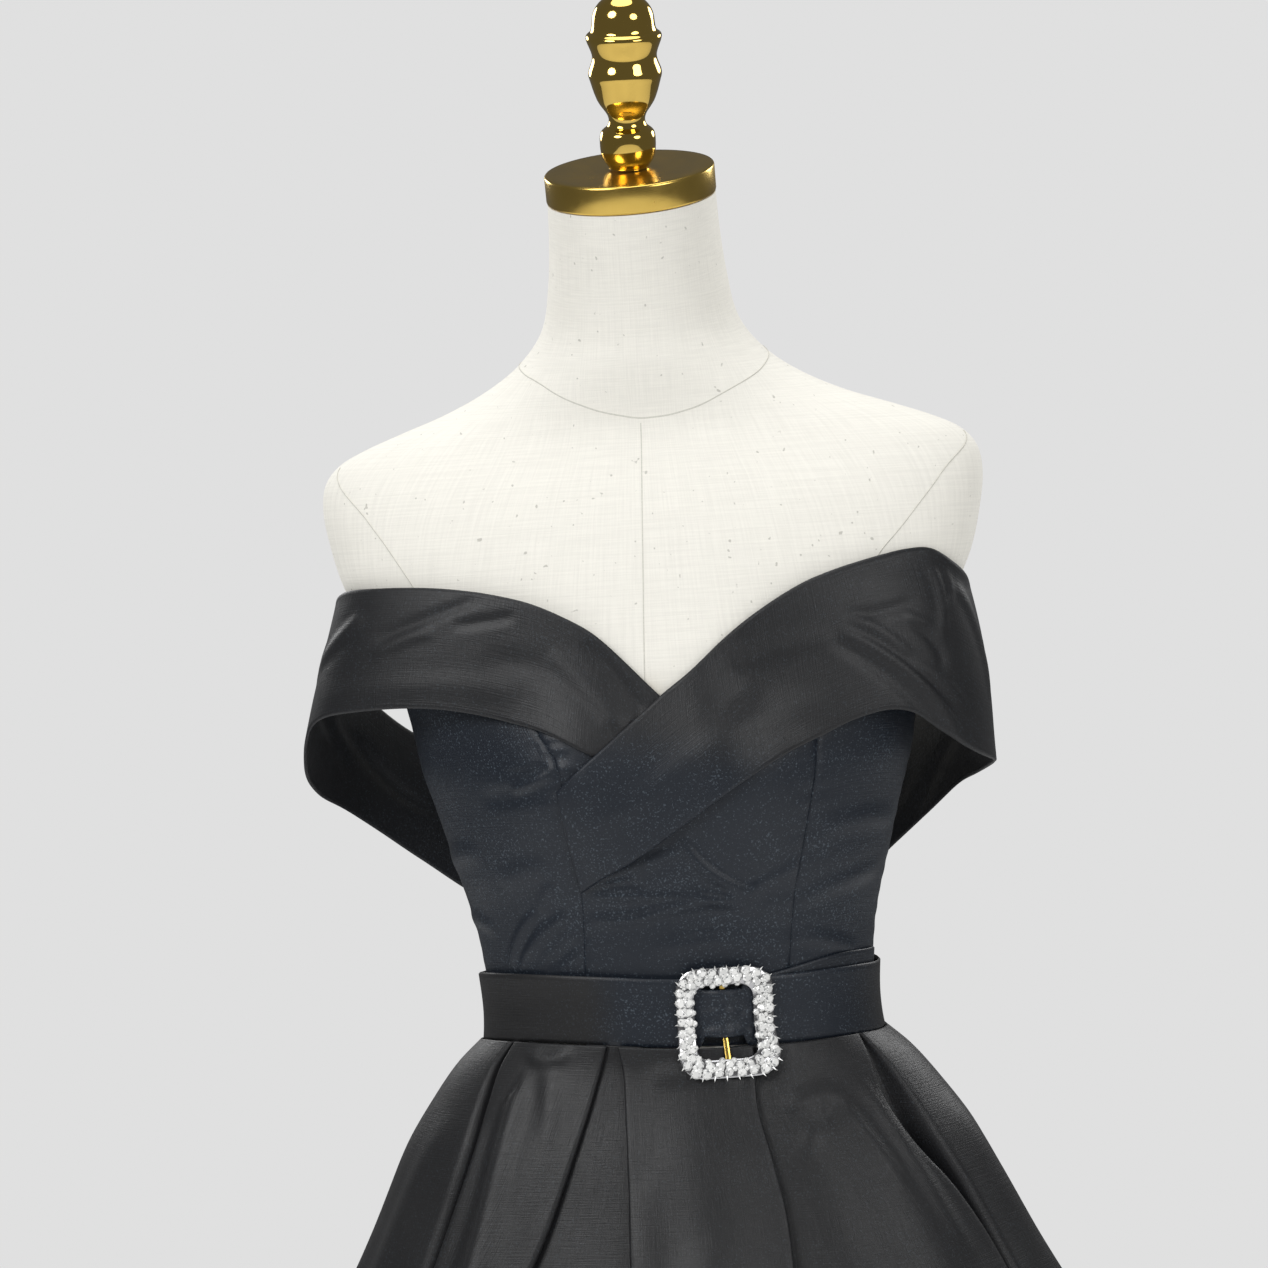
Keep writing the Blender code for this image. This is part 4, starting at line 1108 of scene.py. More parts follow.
def build_stand():
    e = CAP_EDGE
    cap = [(0.5, 0.0), (CAP_RADIUS - e, 0.0)]
    cap += [(CAP_RADIUS - e + e * math.sin(a), e - e * math.cos(a)) for a in (0.5, 1.0, math.pi / 2)]
    cap += [(CAP_RADIUS - e + e * math.cos(a), CAP_HEIGHT - e + e * math.sin(a)) for a in (0.0, 0.5, 1.0)]
    cap += [(CAP_RADIUS - e, CAP_HEIGHT), (CAP_RADIUS - 6, CAP_HEIGHT), (0.5, CAP_HEIGHT)]
    neck_cap = add_turned("neck_cap", cap, 128, neck_frame(SEAM_GAP), gold_brushed)
    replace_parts(neck_cap, "form_neck_cap")
    knob = [(r.radius, FINIAL_HEIGHT - r.below_top) for r in reversed(FINIAL)]
    knob = rounded_profile(knob + [(4, FINIAL_HEIGHT - 0.5), (0.4, FINIAL_HEIGHT)], 150)
    knob = [(0.5, 0.0), (FINIAL[-1].radius, 0.0)] + knob
    lean = math.radians(FINIAL_LEAN_ASIDE)
    foot = CAP_HEIGHT + 2 * SEAM_GAP + FINIAL[-1].radius * math.sin(lean)
    finial = add_turned("finial", knob, 96, neck_frame(foot) @ Matrix.Rotation(lean, 4, "Y"), gold)
    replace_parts(finial, "form_finial")
    floor = -WAIST / MM
    flange_top = FORM[0].height - SEAM_GAP
    neck = flange_top - FLANGE_HEIGHT
    pole = [
        (0.5, floor + BASE_TOP + SEAM_GAP),
        (POLE_RADIUS, floor + BASE_TOP + SEAM_GAP),
        (POLE_RADIUS, neck - 9),
        (POLE_RADIUS + 0.6, neck - 6),
        (POLE_RADIUS + 2.2, neck - 3),
        (POLE_RADIUS + 5, neck),
        (FLANGE_RADIUS - 1, neck + 2),
        (FLANGE_RADIUS, neck + 3),
        (FLANGE_RADIUS, flange_top),
        (0.5, flange_top),
    ]
    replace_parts(add_turned("pole", pole, 64, Matrix.Translation((0, 0, WAIST)), gold_brushed), "form_pole")
    base = [
        (0.5, 0),
        (BASE_RADIUS - 2, 0),
        (BASE_RADIUS, 2),
        (BASE_RADIUS, BASE_EDGE - 6),
        (BASE_RADIUS - 1.5, BASE_EDGE - 2),
        (BASE_RADIUS - 6, BASE_EDGE),
        (BASE_RADIUS * 0.75, BASE_EDGE + 3),
        (BASE_RADIUS * 0.5, BASE_EDGE + 5),
        (BOSS_RADIUS + 14, BASE_EDGE + 8),
        (BOSS_RADIUS + 5, BASE_EDGE + 11),
        (BOSS_RADIUS, BASE_EDGE + 16),
        (BOSS_RADIUS, BASE_TOP - 3),
        (BOSS_RADIUS - 1, BASE_TOP - 1),
        (BOSS_RADIUS - 3, BASE_TOP),
        (0.5, BASE_TOP),
    ]
    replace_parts(add_turned("base", base, 160, Matrix.Identity(4), gold_brushed), "form_base")


# Bodice.
BODICE_COLUMNS_PER_MM = 0.7
BODICE_ROWS = 110
SEAM_DIP = 1.0
SEAM_DIP_WIDTH = 2.0
PUCKER = 0.28


def bodice_top(azimuth):
    return columns_at(BODICE_TOP, azimuth).height


def belt_rise(azimuth):
    return columns_at(BELT_RISE, azimuth).rise


def princess_right(height):
    return columns_at(PRINCESS, height).right


def princess_left(height):
    return columns_at(PRINCESS, height).left


def side_right(height):
    return np.full(np.shape(height), -SIDE_SEAM)


def side_left(height):
    return np.full(np.shape(height), SIDE_SEAM)


def back_right(height):
    return np.full(np.shape(height), -180.0)


def back_left(height):
    return np.full(np.shape(height), 180.0)


def at_seams(from_right, from_left, height, phase):
    """The dip of the cloth into its seams, and the small puckers that the stitches pull."""
    out = 0.0
    for away, side in ((from_right, 0.0), (from_left, 2.1)):
        ripple = np.sin(height / 1.9 + side + phase) + 0.7 * np.sin(height / 3.1 + 2 * side + 2 * phase)
        out = out - SEAM_DIP * np.exp(-((away / SEAM_DIP_WIDTH) ** 2))
        out = out + PUCKER * ripple * np.exp(-away / 6) * smooth_step(away / 3)
    return out


def build_panel(name, right_seam, left_seam, phase):
    middle_width = form_radius(0.5 * (right_seam(50.0) + left_seam(50.0)), 50.0)
    width = math.radians(float(left_seam(50.0) - right_seam(50.0))) * float(middle_width)
    columns = max(40, int(width * BODICE_COLUMNS_PER_MM))
    t = np.linspace(0, 1, columns)
    top = bodice_top(mix(right_seam(0.0), left_seam(0.0), t))
    for _ in range(8):
        top = bodice_top(mix(right_seam(top), left_seam(top), t))
    bottom = BODICE_BOTTOM + belt_rise(mix(right_seam(0.0), left_seam(0.0), t))
    height = mix(bottom, top, np.linspace(0, 1, BODICE_ROWS)[:, None])
    azimuth = mix(right_seam(height), left_seam(height), t)
    radius = form_radius(azimuth, height)
    wide = np.radians(left_seam(height) - right_seam(height)) * radius
    out = (BODICE_INNER + BODICE_OUTER) / 2 + at_seams(t * wide, (1 - t) * wide, height, phase)
    out = out + creased(azimuth, height, radius, BODICE_CREASES)
    out = np.maximum(out, 0.9)
    thickness = BODICE_OUTER - BODICE_INNER
    # the whole bodice gets the navy tint of painted blue sheen
    panel = add_cloth(name + "_cloth", world(azimuth, radius + out, height), thickness, satin, navy=1.0)
    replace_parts(panel, name)
    declare(panel)


def declare(obj):
    """Works out a cloth piece's flat width from its mean measured lengths and its flat area; nothing is done
    with the result.
    """
    width, length, area = SIZES[obj.name]
    width = max(width, area / length)


def build_bodice():
    build_panel("bodice_front_centre", princess_right, princess_left, 0.0)
    build_panel("bodice_front_side_right", side_right, princess_right, 1.3)
    build_panel("bodice_front_side_left", princess_left, side_left, 2.2)
    build_panel("bodice_back_right", back_right, side_right, 3.4)
    build_panel("bodice_back_left", side_left, back_left, 4.1)


# Bands.
BAND_FINE_ROWS = 46
BAND_FINE_STEP = 0.75


def band_radius(azimuth, height, off_form):
    loop = columns_at(ARM_LOOP, height)
    side = np.where(azimuth > 0, loop.left, loop.right)
    near = form_radius(azimuth, height) + off_form
    far = oval(azimuth, side, loop.front, loop.back, ARM_LOOP_SQUARE)
    blend = np.maximum(ARM_LOOP_BLEND - np.abs(near - far), 0) / ARM_LOOP_BLEND
    return np.maximum(near, far) + blend * blend * ARM_LOOP_BLEND / 4


def over_bodice(azimuth, height):
    above = height - bodice_top(azimuth)
    return mix(BAND_ON_BODICE, BAND_ON_FORM, smooth_step((above - 4) / 16))


def left_off_form(azimuth, height):
    tucked = mix(BAND_TUCKED, BAND_ON_BAND, smooth_step((azimuth + 28) / 10))
    crossing = 1 - smooth_step((azimuth - 14) / 20)
    crossed = mix(over_bodice(azimuth, height), BAND_ON_BAND, crossing)
    return np.where(azimuth < -18, tucked, crossed)


def build_band(name, edges, first, last, off_form, creases, navy):
    azimuth, t = np.meshgrid(
        np.linspace(first, last, int((last - first) / BAND_FINE_STEP)), np.linspace(0, 1, BAND_FINE_ROWS)
    )
    edge = columns_at(edges, azimuth)
    height = mix(edge.bottom, edge.top, t)
    radius = band_radius(azimuth, height, off_form(azimuth, height)) + BAND_THICKNESS / 2
    radius = radius + creased(azimuth, height, radius, creases)
    middle = world(azimuth, radius, height)
    # the band's painted blue sheen, a navy tint by place
    band = add_cloth(name + "_cloth", middle, BAND_THICKNESS, satin, navy=navy(azimuth, height))
    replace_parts(band, name)
    declare(band)


# Painted blue sheen on the right band: faint, more from the arm towards the back.
def right_painted_sheen(azimuth, height):
    return 0.12 + 0.2 * smooth_step((-90 - azimuth) / 30)


def left_painted_sheen(azimuth, height):
    """Painted blue sheen, a navy tint near the crossing and under it; charcoal towards the arm."""
    lower = smooth_step((190 - height - 0.4 * azimuth) / 40)
    return 0.1 + 0.85 * lower * (1 - smooth_step((azimuth - 20) / 30))


def build_bands():
    half_gap = math.degrees(SEAM_GAP / 2 / ARM_LOOP[0].back)
    build_band("band_right", BAND_RIGHT, -180 + half_gap, 12, over_bodice, BAND_RIGHT_CREASES, right_painted_sheen)
    build_band("band_left", BAND_LEFT, -28, 180 - half_gap, left_off_form, BAND_LEFT_CREASES, left_painted_sheen)


# Belt, tail and buckle.
BELT_COLUMNS = 420
BELT_ROWS = 18


def belt_hump(azimuth):
    radius = float(form_radius(BUCKLE_AZIMUTH, 0.0)) + BELT_OUTER
    away = np.abs(np.radians(azimuth - BUCKLE_AZIMUTH)) * radius
    return np.cos(math.pi / 2 * np.minimum(away / HUMP_REACH, 1)) ** 2


def buckle_flare(level):
    return BUCKLE_FLARE * np.maximum(0.0, -level - BUCKLE_FLARE_FROM)


def build_belt():
    azimuth, t = np.meshgrid(
        np.arange(BELT_COLUMNS) * 360 / BELT_COLUMNS - 180, np.linspace(-1, 1, BELT_ROWS)
    )
    hump = belt_hump(azimuth)
    level = t * (BELT_HALF_HEIGHT - PINCH * smooth_step(hump / PINCH_FULL_AT))
    height = level + belt_rise(azimuth)
    radius = form_radius(azimuth, height) + (HUMP + buckle_flare(level)) * hump
    gathers = 0.45 * np.cos(t * 2.6 * math.pi) * smooth_step(hump * 1.5)
    radius = radius + (BELT_INNER + BELT_OUTER) / 2 + gathers
    radius = radius + creased(azimuth, height, radius, BELT_CREASES)
    # painted blue sheen: a navy tint over the belt's front
    navy = smooth_step((azimuth + 36) / 20) * (1 - smooth_step((azimuth - 60) / 30))
    middle = world(azimuth, radius, height)
    belt = add_cloth("belt_cloth", middle, BELT_OUTER - BELT_INNER, satin, ring=True, navy=navy)
    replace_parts(belt, "belt")
    declare(belt)


def build_tail():
    azimuth, t = np.meshgrid(np.linspace(TAIL_START, TAIL_END, 90), np.linspace(0, 1, 24))
    top = BELT_HALF_HEIGHT - 2 + TAIL_RISE * smooth_step((azimuth - 25) / 45)
    height = mix(-14.0, top, t) + belt_rise(azimuth)
    radius = form_radius(azimuth, height) + (TAIL_INNER + TAIL_OUTER) / 2
    middle = world(azimuth, radius, height)
    # the tail is tinted navy as painted blue sheen
    tail = add_cloth("belt_tail_cloth", middle, TAIL_OUTER - TAIL_INNER, satin, navy=0.8)
    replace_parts(tail, "belt_tail")
    declare(tail)


def on_buckle(along, level, out):
    """Points of the buckle: along is mm to the wearer's left of its middle, level is mm above the belt's
    middle line there, and out is mm off its back."""
    around = float(form_radius(BUCKLE_AZIMUTH, 0.0)) + BELT_OUTER
    azimuth = BUCKLE_AZIMUTH + np.degrees(along / around)
    rise = float(belt_rise(BUCKLE_AZIMUTH))
    on_belt = np.clip(level, -BELT_HALF_HEIGHT, BELT_HALF_HEIGHT)
    radius = form_radius(azimuth, on_belt + rise) + BELT_OUTER + BUCKLE_OFF_BELT
    return world(azimuth, radius + buckle_flare(level) + out, level + rise)


def rounded_outline(half_width, half_height, corner, spacing):
    """Points of a rounded rectangle at an even spacing, as an array of (along, up)."""
    dense = []
    for sx, sy, start in ((1, 1, 0), (-1, 1, 90), (-1, -1, 180), (1, -1, 270)):
        a = np.radians(start + np.linspace(0, 90, 40))
        cx, cy = sx * (half_width - corner), sy * (half_height - corner)
        dense.append(np.stack((cx + corner * np.cos(a), cy + corner * np.sin(a)), axis=-1))
    dense = np.concatenate(dense + [dense[0][:1]])
    length = np.concatenate(([0], np.cumsum(np.linalg.norm(np.diff(dense, axis=0), axis=-1))))
    count = max(12, round(length[-1] / spacing))
    at = np.arange(count) * length[-1] / count
    return np.stack((np.interp(at, length, dense[:, 0]), np.interp(at, length, dense[:, 1])), axis=-1)


StoneRow = namedtuple("StoneRow", "inset corner spacing radius lift")
STONE_ROWS = (
    StoneRow(4.3, 11.5, 6.1, 3.2, 1.4),
    StoneRow(9.0, 7.5, 5.4, 3.0, 1.8),
    StoneRow(6.6, 9.5, 3.1, 1.7, 2.7),
    StoneRow(11.2, 5.5, 6.6, 2.0, 0.9),
)
STONE_SIDES = 8
PRONG_SPACING = 6.0
PRONG_RADIUS = 0.9
PRONG_LENGTH = 3.4
PRONG_INSET = 3.2
PRONG_SIDES = 6
PLATE_INSET = 1.6
PLATE_SIDES = 120
BAR_ROWS = 30
BAR_SECTION = ((-1, -0.2), (1, -0.2), (1, 0.8), (0.5, 1.2), (-0.5, 1.2), (-1, 0.8))


def stone(centre, out, across, up, radius, turned):
    """A brilliant's crown on its girdle, as points and flat faces."""
    points = []
    a = np.radians(np.arange(STONE_SIDES) * 360 / STONE_SIDES) + turned
    b = a + math.pi / STONE_SIDES
    rings = ((a, 0.86, -0.55), (a, 1.0, 0.0), (b, 0.82, 0.30), (a, 0.52, 0.50))
    for angle, wide, high in rings:
        flat = np.cos(angle)[:, None] * across + np.sin(angle)[:, None] * up
        points.append(centre + (flat * wide + out * high) * radius * MM)
    n = STONE_SIDES
    faces = []
    for k in range(n):
        m = (k + 1) % n
        faces.append((k, m, n + m, n + k))
        faces.append((n + k, n + m, 2 * n + k))
        faces.append((n + m, 2 * n + m, 2 * n + k))
        faces.append((2 * n + k, 3 * n + m, 3 * n + k))
        faces.append((2 * n + k, 2 * n + m, 3 * n + m))
    faces.append(tuple(3 * n + k for k in range(n)))
    faces.append(tuple(n - 1 - k for k in range(n)))
    return np.concatenate(points), faces


def face_mesh(name, groups, finish, draw):
    """One mesh of many small bodies whose faces don't share points, so that each has its own value."""
    points = []
    faces = []
    values = []
    for body_points, body_faces in groups:
        for face in body_faces:
            first = len(points)
            points += [body_points[i] for i in face]
            faces.append(list(range(first, first + len(face))))
            # a random painted shade for each face, dark on a few facets as painted reflections
            shade = draw.random()
            values += [shade**2.6 if len(face) < STONE_SIDES else 0.3 * shade**3] * len(face)
    return add_mesh(name, points, faces, finish, values={"facet": values}, smooth=0)


def build_plate(plate):
    """The frame that carries the stones, as loops round it from the window's back edge to the rim's."""
    loops = []
    sections = (
        (PLATE_INSET, 0.0),
        (PLATE_INSET, plate * 0.6),
        (PLATE_INSET + 1, plate),
        (BUCKLE_RIM - 1, plate),
        (BUCKLE_RIM, plate * 0.6),
        (BUCKLE_RIM, 0.0),
    )
    for inset, out in sections:
        outline = rounded_outline(
            BUCKLE_HALF_WIDTH - inset, BUCKLE_HALF_HEIGHT - inset, BUCKLE_CORNER - inset * 0.62, 1.5
        )
        t = np.arange(PLATE_SIDES) * len(outline) / PLATE_SIDES
        closed = np.concatenate((outline, outline[:1]))
        x = np.interp(t, np.arange(len(closed)), closed[:, 0])
        y = np.interp(t, np.arange(len(closed)), closed[:, 1])
        loops.append(on_buckle(x, y + BUCKLE_HEIGHT, out))
    faces = grid_faces(len(loops), PLATE_SIDES, True).tolist()
    last = (len(loops) - 1) * PLATE_SIDES
    for k in range(PLATE_SIDES):
        n = (k + 1) % PLATE_SIDES
        faces.append([last + k, last + n, n, k])
    obj = add_mesh("buckle_plate", np.concatenate(loops), faces, silver)
    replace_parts(obj, "belt_buckle")


def build_stones(plate, draw):
    stones = []
    for row in STONE_ROWS:
        outline = rounded_outline(
            BUCKLE_HALF_WIDTH - row.inset, BUCKLE_HALF_HEIGHT - row.inset, row.corner, row.spacing
        )
        for x, y in outline:
            x += draw.normal(0, 0.35)
            y += draw.normal(0, 0.35)
            lift = plate + row.lift * 0.5 + draw.normal(0, 0.15)
            radius = row.radius * (1 + draw.normal(0, 0.07))
            spot = on_buckle(x, y + BUCKLE_HEIGHT, lift)
            out = on_buckle(x, y + BUCKLE_HEIGHT, lift + 1) - spot
            across = on_buckle(x + 1, y + BUCKLE_HEIGHT, lift) - spot
            out = out / np.linalg.norm(out) + draw.normal(0, 0.16, 3)
            out /= np.linalg.norm(out)
            up = np.cross(out, across)
            up /= np.linalg.norm(up)
            across = np.cross(up, out)
            stones.append(stone(spot, out, across, up, radius, draw.random() * math.tau))
    obj = face_mesh("buckle_stones", stones, crystal, draw)
    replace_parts(obj, "belt_buckle")


def build_prongs(plate, draw):
    """Pointed prongs round the frame, each a small cone that points away from the buckle's middle."""
    prongs = []
    base = plate * 0.9
    sides = np.radians(np.arange(PRONG_SIDES) * 360 / PRONG_SIDES)
    body_faces = [(k, (k + 1) % PRONG_SIDES, PRONG_SIDES) for k in range(PRONG_SIDES)]
    body_faces.append(tuple(range(PRONG_SIDES - 1, -1, -1)))
    outer = rounded_outline(
        BUCKLE_HALF_WIDTH - PRONG_INSET, BUCKLE_HALF_HEIGHT - PRONG_INSET, BUCKLE_CORNER - 3, PRONG_SPACING
    )
    for x, y in outer:
        spot = on_buckle(x, y + BUCKLE_HEIGHT, base)
        out = on_buckle(x, y + BUCKLE_HEIGHT, plate + 1) - spot
        out /= np.linalg.norm(out)
        pull = np.array((x, y)) / np.hypot(x / BUCKLE_HALF_WIDTH, y / BUCKLE_HALF_HEIGHT)
        flat = on_buckle(x + pull[0] * 0.03, y + pull[1] * 0.03 + BUCKLE_HEIGHT, base) - spot
        away = flat / np.linalg.norm(flat)
        side = np.cross(out, away)
        ring = spot + (np.cos(sides)[:, None] * side + np.sin(sides)[:, None] * out) * PRONG_RADIUS * MM
        tip = spot + (away * PRONG_LENGTH + out * 0.8) * MM
        prongs.append((np.concatenate((ring, [tip])), body_faces))
    obj = face_mesh("buckle_prongs", prongs, crystal, draw)
    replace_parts(obj, "belt_buckle")


def build_bar():
    """The upright bar behind the belt's cloth, across the buckle's window."""
    half = BUCKLE_HALF_HEIGHT - BUCKLE_RIM - SEAM_GAP
    high = np.linspace(-half, half, BAR_ROWS) + BUCKLE_HEIGHT
    bar = []
    for x, out in BAR_SECTION:
        bar.append(on_buckle(np.full(BAR_ROWS, x * BAR_HALF_WIDTH), high, out))
    bar = np.stack(bar, axis=1)
    sides = len(BAR_SECTION)
    faces = [list(reversed(face)) for face in grid_faces(BAR_ROWS, sides, True).tolist()]
    faces.append(list(range(sides)))
    faces.append([BAR_ROWS * sides - 1 - k for k in range(sides)])
    obj = add_mesh("buckle_bar", bar.reshape(-1, 3), faces, gold_brushed)
    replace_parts(obj, "belt_buckle_bar")


def build_buckle():
    draw = np.random.default_rng(5)
    plate = BUCKLE_THICKNESS * 0.42
    build_plate(plate)
    build_stones(plate, draw)
    build_prongs(plate, draw)
    build_bar()


# Skirt.
SKIRT_FINE_ROWS = 132
HEM = SKIRT[-1].height
PANEL_SPACING = 5.5


def cone_radius(azimuth, height):
    s = columns_at(SKIRT, height)
    return oval(azimuth, s.half_width, s.front, s.back, SKIRT_SQUARE)


def turn(along, inwards, radius, first, last, points):
    a = np.radians(np.linspace(first, last, points + 1))
    return np.stack((along + radius * np.cos(a), inwards + radius * np.sin(a)), axis=-1)


def straight(a, b, points):
    t = np.arange(1, points + 1)[:, None] / (points + 1)
    return a + (b - a) * t


def lapping(overlap, layer):
    r = layer / 2
    edge = turn(-r, r, r, -90, 90, 9)
    back = turn(r - overlap, layer + r, r, -90, -270, 9)
    return np.concatenate((edge, straight(edge[-1], back[0], 4), back))


def mirrored(line):
    return line[::-1] * np.array((-1, 1))


def climbing(layer, climb):
    t = np.linspace(0, 1, 10)
    return np.stack((climb * t, 2 * layer * (1 - smooth_step(t))), axis=-1)


def valley(mouth, depth, lip):
    half = mouth / 2
    left = turn(-half - lip, lip, lip, -90, 0, 5)
    floor = turn(0, depth - half, half, 180, 0, 10)
    right = turn(half + lip, lip, lip, 180, 270, 5)
    down = straight(left[-1], floor[0], 4)
    up = straight(floor[-1], right[0], 4)
    return np.concatenate((left, down, floor, up, right))


def folds_at(height):
    """The skirt's folds at a height, by name, each an azimuth and points of (along, inwards)."""
    size = columns_at(PLEAT_SIZE, height)
    edge = columns_at(PLEAT_EDGES, height)
    hip = columns_at(HIP_FOLDS, height)
    lap = lapping(size.overlap, size.layer)
    climb = climbing(size.layer, size.climb)
    return {
        "back_b_right": (-edge.back_b, lap),
        "back_a_right": (-edge.back_a, mirrored(lap)),
        "back_climb_right": (-edge.back_knife, mirrored(climb)),
        "back_knife_right": (-edge.back_knife, mirrored(lap)),
        "hip_right": (hip.right, valley(hip.mouth_right, hip.depth, hip.lip)),
        "panel_right": (edge.panel_right, lap),
        "panel_left": (edge.panel_left, mirrored(lap)),
        "front_knife": (edge.front_knife, lap),
        "front_climb": (edge.front_knife, climb),
        "hip_left": (hip.left, valley(hip.mouth_left, hip.depth, hip.lip)),
        "back_knife_left": (edge.back_knife, lap),
        "back_climb_left": (edge.back_knife, climb),
        "back_a_left": (edge.back_a, lap),
        "back_b_left": (edge.back_b, mirrored(lap)),
    }


def side_crown(end, crown):
    return crown if abs(abs(end) - 90) < 45 else 0.0


def panel_line(start, end, crown, count):
    """Points between two folds or seams, each an azimuth and a depth, without the two themselves."""
    t = np.arange(1, count + 1) / (count + 1)
    bulge = np.zeros(count)
    if start[1] < 0.01 and end[1] < 0.01:
        if start[1] < -0.01 or abs(abs(start[0]) - 90) < 1:
            bulge = crown * np.cos(math.pi / 2 * t) ** 2
        elif end[1] < -0.01 or abs(abs(end[0]) - 90) < 1:
            bulge = crown * np.sin(math.pi / 2 * t) ** 2
        else:
            bulge = crown * np.sin(math.pi * t) ** 2
    depth = mix(max(start[1], 0.0), max(end[1], 0.0), smooth_step(t))
    return np.stack((mix(start[0], end[0], t), depth - bulge), axis=-1)


SkirtPiece = namedtuple("SkirtPiece", "name start folds end")
SKIRT_PIECES = (
    SkirtPiece(
        "skirt_back_right",
        -180.0,
        ("back_b_right", "back_a_right", "back_climb_right", "back_knife_right"),
        -90.0,
    ),
    SkirtPiece("skirt_side_right", -90.0, ("hip_right", "panel_right"), None),
    SkirtPiece("skirt_front_centre", "panel_right", (), "panel_left"),
    SkirtPiece("skirt_front_left", None, ("panel_left", "front_knife"), None),
    SkirtPiece("skirt_side_left", "front_knife", ("front_climb", "hip_left"), 90.0),
    SkirtPiece(
        "skirt_back_left",
        90.0,
        ("back_knife_left", "back_climb_left", "back_a_left", "back_b_left"),
        180.0,
    ),
)


def skirt_line(piece, height, counts):
    """The piece's middle line at a height, as its stops and the panels between them by turns."""
    placed = {}
    for name, (azimuth, points) in folds_at(height).items():
        scale = math.degrees(1 / float(cone_radius(azimuth, height)))
        placed[name] = np.stack((azimuth + points[:, 0] * scale, points[:, 1]), axis=-1)
    crown = float(columns_at(SKIRT, height).crown)
    stops = [placed[name] for name in piece.folds]
    if isinstance(piece.start, float):
        stops.insert(0, np.array(((piece.start, -side_crown(piece.start, crown)),)))
    elif piece.start:
        stops.insert(0, placed[piece.start][-1:])
    if isinstance(piece.end, float):
        stops.append(np.array(((piece.end, -side_crown(piece.end, crown)),)))
    elif piece.end:
        stops.append(placed[piece.end][:1])
    line = [stops[0]]
    for k, stop in enumerate(stops[1:]):
        line.append(panel_line(line[-1][-1], stop[0], crown, counts[k]))
        line.append(stop)
    return line


def panel_counts(piece):
    """How many points each panel of a piece takes, from its width at the hem."""
    bare = skirt_line(piece, HEM, [1] * 12)
    counts = []
    for before, after in zip(bare[::2], bare[2::2]):
        wide = math.radians(abs(after[0, 0] - before[-1, 0])) * float(cone_radius(before[-1, 0], HEM))
        counts.append(max(3, int(wide / PANEL_SPACING)))
    return counts


def skirt_heights():
    t = np.linspace(0, 1, SKIRT_FINE_ROWS)
    return SKIRT[0].height + (HEM - SKIRT[0].height) * t**1.5


# The hem's stitched line draws the cloth in by a little.
HEM_DIP = 0.35
HEM_DEPTH = 24.0


def build_skirt_piece(piece):
    counts = panel_counts(piece)
    heights = skirt_heights()[::-1]
    grid = np.stack([np.concatenate(skirt_line(piece, float(h), counts)) for h in heights])
    azimuth, inwards = grid[..., 0], grid[..., 1]
    height = np.broadcast_to(heights[:, None], azimuth.shape)
    radius = cone_radius(azimuth, height)
    layer = columns_at(PLEAT_SIZE, height).layer
    free = 1 - smooth_step(inwards / layer)
    out = creased(azimuth, height, radius, SKIRT_CREASES) * free
    out = out - HEM_DIP * np.exp(-(((height - HEM - HEM_DEPTH) / 1.6) ** 2))
    lifted = height + belt_rise(azimuth) * (1 - smooth_step((SKIRT[0].height - height) / RISE_FADES_BY))
    middle = world(azimuth, radius - inwards + out, lifted)
    # the skirt gets only a trace of painted blue sheen
    obj = add_cloth(piece.name + "_cloth", middle, SKIRT_WALL, satin, navy=0.06)
    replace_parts(obj, piece.name)
    declare(obj)
    row = int(np.argmin(np.abs(heights - HEM - HEM_DEPTH)))
    return middle[row], outward(middle, False)[row]


HEM_STITCH_SPACING = 9.0
HEM_STITCH = (1.9, 0.22, 0.16)  # length, height and thickness
STITCH_POINTS = ((-1, 0, 0), (0, -1, 0.8), (0, 1, 0.8), (0, 0, 1.6), (1, 0, 0), (0, 0, -1))
STITCH_FACES = ((0, 1, 3), (0, 3, 2), (4, 3, 1), (4, 2, 3), (0, 5, 1), (0, 2, 5), (4, 1, 5), (4, 5, 2))


def build_skirt():
    stitches = []
    for piece in SKIRT_PIECES:
        line, normals = build_skirt_piece(piece)
        length = np.concatenate(([0], np.cumsum(np.linalg.norm(np.diff(line, axis=0), axis=-1))))
        places = np.arange(4.0, length[-1] / MM - 4, HEM_STITCH_SPACING) * MM
        for at in places:
            k = min(int(np.searchsorted(length, at)), len(line) - 1)
            t = (at - length[k - 1]) / max(length[k] - length[k - 1], 1e-9)
            spot = mix(line[k - 1], line[k], t)
            along = line[k] - line[k - 1]
            along /= max(np.linalg.norm(along), 1e-9)
            out = mix(normals[k - 1], normals[k], t)
            spot = spot + out * SKIRT_WALL / 2 * MM
            up = np.cross(out, along)
            stitches.append((spot, along, up, out))
    points = []
    faces = []
    half_long, half_high, proud = (size / 2 * MM for size in HEM_STITCH)
    for spot, along, up, out in stitches:
        first = len(points)
        for a, b, c in STITCH_POINTS:
            points.append(spot + along * a * half_long + up * b * half_high + out * c * proud)
        for a, b, c in STITCH_FACES:
            faces.append([first + a, first + b, first + c])
    add_mesh("hem_stitches", points, faces, dark_thread, smooth=60.0)


# Camera: about two metres away, a little to the wearer's left of the front and above the waist.
CAMERA_AWAY = 2000.0
CAMERA_HEIGHT = 300.0
CAMERA_YAW = 5.0
CAMERA_ROLL = 3.5
MM_PER_PIXEL = 0.62
PICTURE = 1268
SENSOR = 36.0
TARGET_ASIDE = -15.5
TARGET_HEIGHT = 233.0


def place(x, y, height):
    return Vector((x * MM, y * MM, WAIST + height * MM))


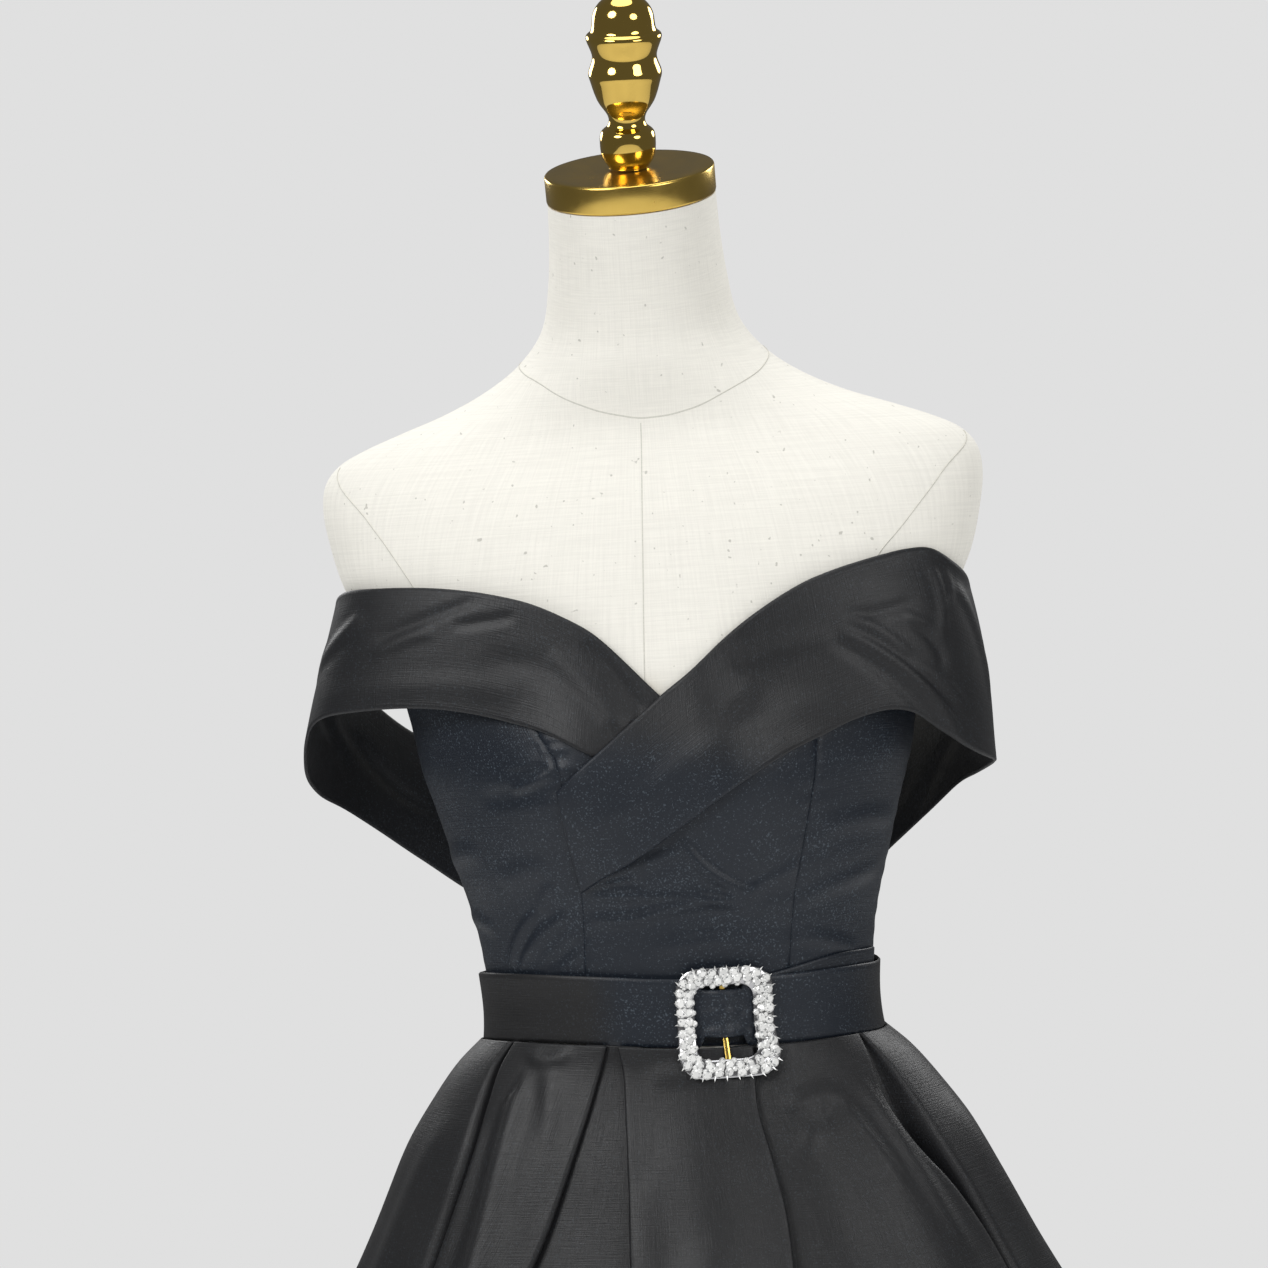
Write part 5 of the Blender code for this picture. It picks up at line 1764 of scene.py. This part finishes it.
def add_camera():
    yaw = math.radians(CAMERA_YAW)
    eye = place(CAMERA_AWAY * math.sin(yaw), -CAMERA_AWAY * math.cos(yaw), CAMERA_HEIGHT)
    target = place(TARGET_ASIDE * math.cos(yaw), TARGET_ASIDE * math.sin(yaw), TARGET_HEIGHT)
    ahead = (target - eye).normalized()
    right = ahead.cross(Vector((0, 0, 1))).normalized()
    up = right.cross(ahead)
    roll = math.radians(CAMERA_ROLL)
    right_rolled = right * math.cos(roll) - up * math.sin(roll)
    up_rolled = up * math.cos(roll) + right * math.sin(roll)
    data = bpy.data.cameras.new("camera")
    data.sensor_width = SENSOR
    data.lens = SENSOR * CAMERA_AWAY / MM_PER_PIXEL / PICTURE
    camera = bpy.data.objects.new("camera", data)
    turn = Matrix((right_rolled, up_rolled, -ahead)).transposed()
    camera.matrix_world = Matrix.Translation(eye) @ turn.to_4x4()
    bpy.context.scene.collection.objects.link(camera)
    bpy.context.scene.camera = camera


# Floor, light and surroundings.
FLOOR_RADIUS = 3.2
BACKDROP = 0.745
AMBIENT = 0.46
REFLECTED = 0.11
Lamp = namedtuple("Lamp", "name x y z size power")
LAMPS = (
    Lamp("key", -1.7, -2.4, 2.9, 1.6, 44.0),
    Lamp("fill", 2.1, -2.2, 2.1, 1.4, 22.0),
    Lamp("top", 0.0, -0.3, 3.6, 1.8, 20.0),
    Lamp("back_right", -1.8, 2.0, 2.4, 1.2, 20.0),
    Lamp("back_left", 1.8, 2.0, 2.4, 1.2, 20.0),
)


def add_floor():
    sides = 96
    a = np.radians(np.arange(sides) * 360 / sides)
    points = np.stack((np.cos(a) * FLOOR_RADIUS, np.sin(a) * FLOOR_RADIUS, np.full(sides, -0.001)), axis=-1)
    mesh = bpy.data.meshes.new("floor")
    mesh.from_pydata(points.tolist(), [], [list(range(sides))])
    finish = new_finish("floor", (0.78, 0.78, 0.78), 0.8)[0]
    mesh.materials.append(finish)
    floor = bpy.data.objects.new("floor", mesh)
    bpy.context.scene.collection.objects.link(floor)


def add_lamps():
    target = Vector((0, 0, WAIST))
    for lamp in LAMPS:
        data = bpy.data.lights.new(lamp.name, "AREA")
        data.shape = "DISK"
        data.size = lamp.size
        data.energy = lamp.power
        obj = bpy.data.objects.new(lamp.name, data)
        spot = Vector((lamp.x, lamp.y, lamp.z))
        obj.rotation_euler = (target - spot).to_track_quat("-Z", "Y").to_euler()
        obj.location = spot
        bpy.context.scene.collection.objects.link(obj)


def add_surroundings():
    scene = bpy.context.scene
    scene.view_settings.view_transform = "Standard"
    scene.world = bpy.data.worlds.new("studio")
    scene.world.use_nodes = True
    tree = scene.world.node_tree
    tree.nodes.clear()
    path = node(tree, "ShaderNodeLightPath")
    grey = node(tree, "ShaderNodeBackground", None, {"Color": (1, 1, 1, 1), "Strength": BACKDROP})
    soft = node(tree, "ShaderNodeBackground", None, {"Color": (1, 1, 1, 1), "Strength": AMBIENT})
    dark = node(tree, "ShaderNodeBackground", None, {"Color": (1, 1, 1, 1), "Strength": REFLECTED})
    lit = node(
        tree,
        "ShaderNodeMixShader",
        None,
        {0: path.outputs["Is Glossy Ray"], 1: soft.outputs[0], 2: dark.outputs[0]},
    )
    seen = node(
        tree,
        "ShaderNodeMixShader",
        None,
        {0: path.outputs["Is Camera Ray"], 1: lit.outputs[0], 2: grey.outputs[0]},
    )
    node(tree, "ShaderNodeOutputWorld", None, {"Surface": seen.outputs[0]})


build_torso()
build_form_seams()
build_stand()
build_bodice()
build_bands()
build_belt()
build_tail()
build_buckle()
build_skirt()
add_floor()
add_lamps()
add_surroundings()
add_camera()
